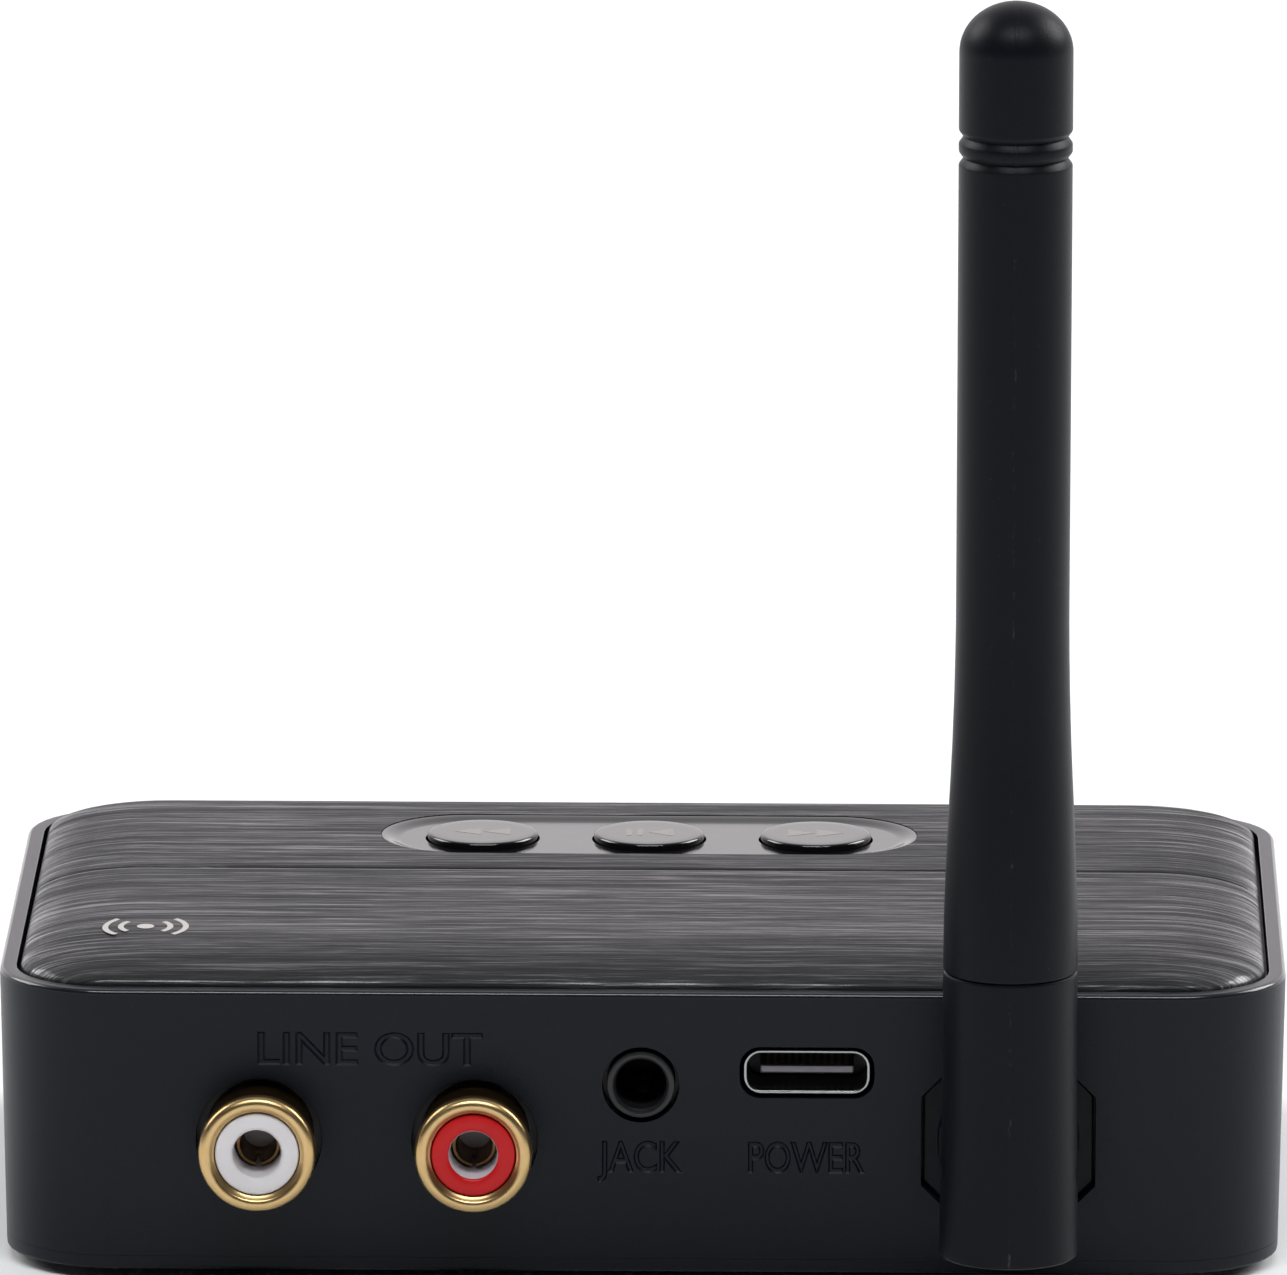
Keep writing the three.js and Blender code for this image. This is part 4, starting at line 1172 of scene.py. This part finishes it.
for side in (-1, 1):
    face_z = usb_place.z + side * 0.35 * mm
    for index in range(12):
        x = usb_place.x + (index - 5.5) * 0.5 * mm
        low = (x - 0.13 * mm, tongue_low.y + 0.3 * mm, face_z - 0.02 * mm)
        high = (x + 0.13 * mm, tongue_low.y + 4.2 * mm, face_z + 0.03 * mm)
        strips.append(block("strip", low, high))
strips = unite("power_contacts", *strips)
soften(strips, lambda e: e.calc_length() < 0.1 * mm, 0.02 * mm, 1)
# the contact strips take the darker brass: painted shade
finished(strips, brass, "case", (), 35)

# ----------------------------------------
# Antenna mount: an eight-sided charcoal plate set back in the rear wall, with a flange behind it.
mount_low, mount_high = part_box("antenna_mount")
plate_front = rear_y - mount_low.y
mount = octagon_bar("mount_plate", mount_across - 0.3 * mm, rear_y - mount_high.y, plate_front)
soften(mount, flat_at(plate_front), 0.15 * mm, 2)
turn_to(mount, facing_rear, (pivot.x, rear_y, pivot.z))
flange = block("flange", (mount_low.x, rear_y + 2.25 * mm, mount_low.z), mount_high)
soften(flange, lambda e: True, 0.1 * mm, 1)
boolean(mount, flange, "UNION")
neck_hole = turned("hole", [(2.5 * mm, -8 * mm), (2.5 * mm, 2 * mm)], 48)
boolean(mount, turn_to(neck_hole, facing_rear, (pivot.x, rear_y, pivot.z)))
finished(mount, charcoal, "case", ("antenna_mount",), 30)

# ----------------------------------------
# Swivel hub: a black moulding whose disc turns in the mount's recess. Its knuckle holds the hinge
# pin, and its hollow neck passes through the mount to a washer and an open retaining ring.
matt = Finish("matt_black_moulding", Specular_IOR_Level=0.15)
matt_grain = matt.noise(8000, 3, 0.6)
matt_cloud = matt.noise(70, 4, 0.55)
antenna_low, antenna_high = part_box("antenna_sleeve")
across, forward = matt.axes()[:2]
off_middle = (across - pivot.x).size()
mould_line = (off_middle * -1).between(-0.16 * mm, -0.04 * mm) * (forward < pivot.y)
flash = matt.noise(1, 3, 0.8, matt.stretched(2500, 2500, 700)).between(0.58, 0.72)
dust = 1 - matt.specks(700).between(0.0, 0.06)
matt.set("Base Color", matt.mixed(
    mould_line * flash * 0.55 + dust * 0.3,
    matt.mixed(matt_cloud, (0.0020, 0.0026, 0.0050), (0.0032, 0.0038, 0.0068)),
    (0.07, 0.07, 0.075),
))
matt.set("Roughness", 0.3 + matt_grain * 0.12 + matt_cloud * 0.08)
matt.relief(matt_grain + mould_line * 1.5, 0.014 * mm)
hub_low, hub_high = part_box("swivel_hub")
seat_y = rear_y + 1.15 * mm
neck_end = seat_y - hub_high.y
hub = turned(
    "hub",
    rings(neck_end, (2, 0), (2.4, 0.4), (2.4, 0.75), (2.02, 0.75), (2.02, 1.35), (2.4, 1.35))
    + rings(0, (2.4, 0), (5, 0), (5, 0.85), (4.92, 1.02), (4.75, 1.1)),
    72,
)
turn_to(hub, facing_rear, (pivot.x, seat_y, pivot.z))
knuckle = turned("knuckle", rings(0, (2.9, -2.7), (3.1, -2.5), (3.1, 2.5), (2.9, 2.7)), 48)
bridge = block(
    "bridge",
    (pivot.x - 2.7 * mm, pivot.y, pivot.z - 3.1 * mm),
    (pivot.x + 2.7 * mm, seat_y - 0.1 * mm, pivot.z + 3.1 * mm),
)
soften(bridge, runs_along(1), 0.2 * mm, 2)
boolean(hub, turn_to(knuckle, along_x, pivot), "UNION")
boolean(hub, bridge, "UNION")
pin_hole = turned("hole", [(1.04 * mm, -6 * mm), (1.04 * mm, 6 * mm)], 32)
boolean(hub, turn_to(pin_hole, along_x, pivot))
lead_way = turned("hole", [(1.1 * mm, neck_end - 1 * mm), (1.1 * mm, seat_y - pivot.y - 2.2 * mm)], 32)
boolean(hub, turn_to(lead_way, facing_rear, (pivot.x, seat_y, pivot.z)))
way_out = block(
    "way_out",
    (pivot.x - 1.1 * mm, pivot.y + 1.8 * mm, pivot.z),
    (pivot.x + 1.1 * mm, pivot.y + 4 * mm, pivot.z + 4.1 * mm),
)
boolean(hub, way_out)
finished(hub, matt, "hub", ("swivel_hub",), 32)
pin_low, pin_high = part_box("hinge_pin")
pin_half = (pin_high.x - pin_low.x) / 2
pin_ends = rings(-pin_half, (0.82, 0), (1, 0.18)) + rings(pin_half, (1, -0.18), (0.82, 0))
pin = turned("pin", pin_ends, 40)
finished(turn_to(pin, along_x, pivot), zinc, "hub", ("hinge_pin",), 30)

# ----------------------------------------
# Antenna housing: the lower, wider half of the antenna. It is a black moulding slotted for the
# hub's knuckle, drilled for the hinge pin, and closed on top by the sleeve at a fine seam.
foot_low, foot_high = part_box("antenna_housing")
low_z, high_z = foot_low.z, foot_high.z
foot_radius = (foot_high.x - foot_low.x) / 2
flare = ((0.4, 0), (0.18, 0.04), (0.05, 0.14), (0, 0.34), (0.03, 4), (0.08, 8))
grip = turned(
    "antenna_foot",
    [(foot_radius - inset * mm, low_z + rise * mm) for inset, rise in flare]
    + rings(low_z, (4.72, 12))
    + rings(high_z, (4.7, -6), (4.7, -0.22), (4.65, -0.08), (4.54, 0)),
    96,
)
move_to(grip, pivot.x, pivot.y, 0)
slot_cut = block(
    "slot",
    (pivot.x - 2.85 * mm, pivot.y - 3.45 * mm, low_z - 1 * mm),
    (pivot.x + 2.85 * mm, pivot.y + 6 * mm, pivot.z + 3.45 * mm),
)
soften(slot_cut, flat_at(pivot.z + 3.45 * mm), 0.4 * mm, 2)
boolean(grip, slot_cut)
bored(grip, pivot, 1.4 * mm, pivot.z, high_z + 1 * mm, 32)
pin_hole = turned("hole", [(1.06 * mm, -6 * mm), (1.06 * mm, 6 * mm)], 40)
boolean(grip, turn_to(pin_hole, along_x, pivot))
finished(grip, matt, "antenna", ("antenna_housing",), 32)

# ----------------------------------------
# Antenna sleeve: a hollow tapering tube of the same black plastic over the radiator, with a round
# tip, two fine V grooves below it, and a mould line down its rear side.
stem = 3.95
sleeve_low, tip = antenna_low.z, antenna_high.z
profile = rings(
    sleeve_low, (4.5, 0), (4.64, 0.06), (4.7, 0.2), (4.66, 4), (4.6, 6), (4.52, 8), (4.44, 10), (4.35, 12),
    (4.25, 14), (4.16, 16), (4.09, 18), (4.03, 20), (3.98, 22.5), (stem, 25),
)
v_groove = ((0, -0.52), (-0.03, -0.42), (-0.28, -0.08), (-0.34, 0), (-0.28, 0.08), (-0.03, 0.42), (0, 0.52))
for groove in (tip - 10.95 * mm, tip - 9.45 * mm):
    profile += rings(groove, *[(stem + depth, rise) for depth, rise in v_groove])
tip_rise = 3.5 * mm
for step in range(17):
    turn = step / 17 * math.pi / 2
    profile.append((stem * mm * math.cos(turn), tip - tip_rise + tip_rise * math.sin(turn)))
profile.append((0.12 * mm, tip))
sleeve = turned("antenna_stem", profile, 96)
move_to(sleeve, pivot.x, pivot.y, 0)
bored(sleeve, pivot, 1.5 * mm, sleeve_low - 1 * mm, tip - 8 * mm, 32)
finished(sleeve, matt, "antenna", ("antenna_sleeve",), 32)

# ----------------------------------------
# Inside the case and the antenna: the boards, chips, cans, switches, leads and small fixings keep
# the shapes they were drawn with, and take their finishes here.
solder_mask = Finish("green_board", IOR=1.5)
brick = {"out": "Fac", "offset": 0.5}
track = solder_mask.node("ShaderNodeTexBrick", brick, Vector=solder_mask.place, Scale=420)
solder_mask.set("Base Color", solder_mask.mixed(
    track * 0.6 + solder_mask.noise(200, 3) * 0.3, (0.006, 0.055, 0.022), (0.016, 0.11, 0.045)
))
solder_mask.set("Roughness", 0.3 + solder_mask.noise(1200, 3) * 0.2)
solder_mask.relief(track, 0.02 * mm)
epoxy = Finish("chip_epoxy")
epoxy_grain = epoxy.noise(5000, 3, 0.6)
epoxy.toned(epoxy_grain, (0.010, 0.010, 0.011), (0.022, 0.022, 0.023), 0.5, 0.2)
epoxy.relief(epoxy_grain, 0.01 * mm)
enamel = Finish("enamelled_copper", Metallic=1.0)
enamel_tone = enamel.noise(1500, 3)
enamel.toned(enamel_tone, (0.42, 0.16, 0.06), (0.60, 0.26, 0.11), 0.26, 0.16)
jacket = Finish("lead_jacket")
jacket_tone = jacket.noise(1, 3, 0.6, jacket.stretched(1500, 1500, 1500))
jacket.toned(jacket_tone, (0.012, 0.012, 0.013), (0.026, 0.026, 0.028), 0.4, 0.15)
capacitors = ("output_capacitor_left", "output_capacitor_right")
switches = tuple(name + "_switch" for name in button_names)
chips = ("audio_converter_chip", "line_driver_chip", "voltage_regulator", "power_inductor")
inside = (
    (solder_mask, ("main_board", "radio_module_board")),
    (zinc, ("radio_shield_can", "crystal", "board_screw_left", "board_screw_right", "friction_washer")),
    (zinc, capacitors + switches),
    (steel, ("hub_clip",)),
    (epoxy, chips + tuple(name + "_plunger" for name in switches)),
    (satin, ("socket_block",)),
    (gold, ("coax_connector",)),
    (jacket, ("coax_lead", "coax_tail")),
    (enamel, ("touch_pairing_coil", "radiator")),
)
for finish, names in inside:
    for name in names:
        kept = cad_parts[name]
        kept.data.materials.clear()
        kept.data.materials.append(finish.material)
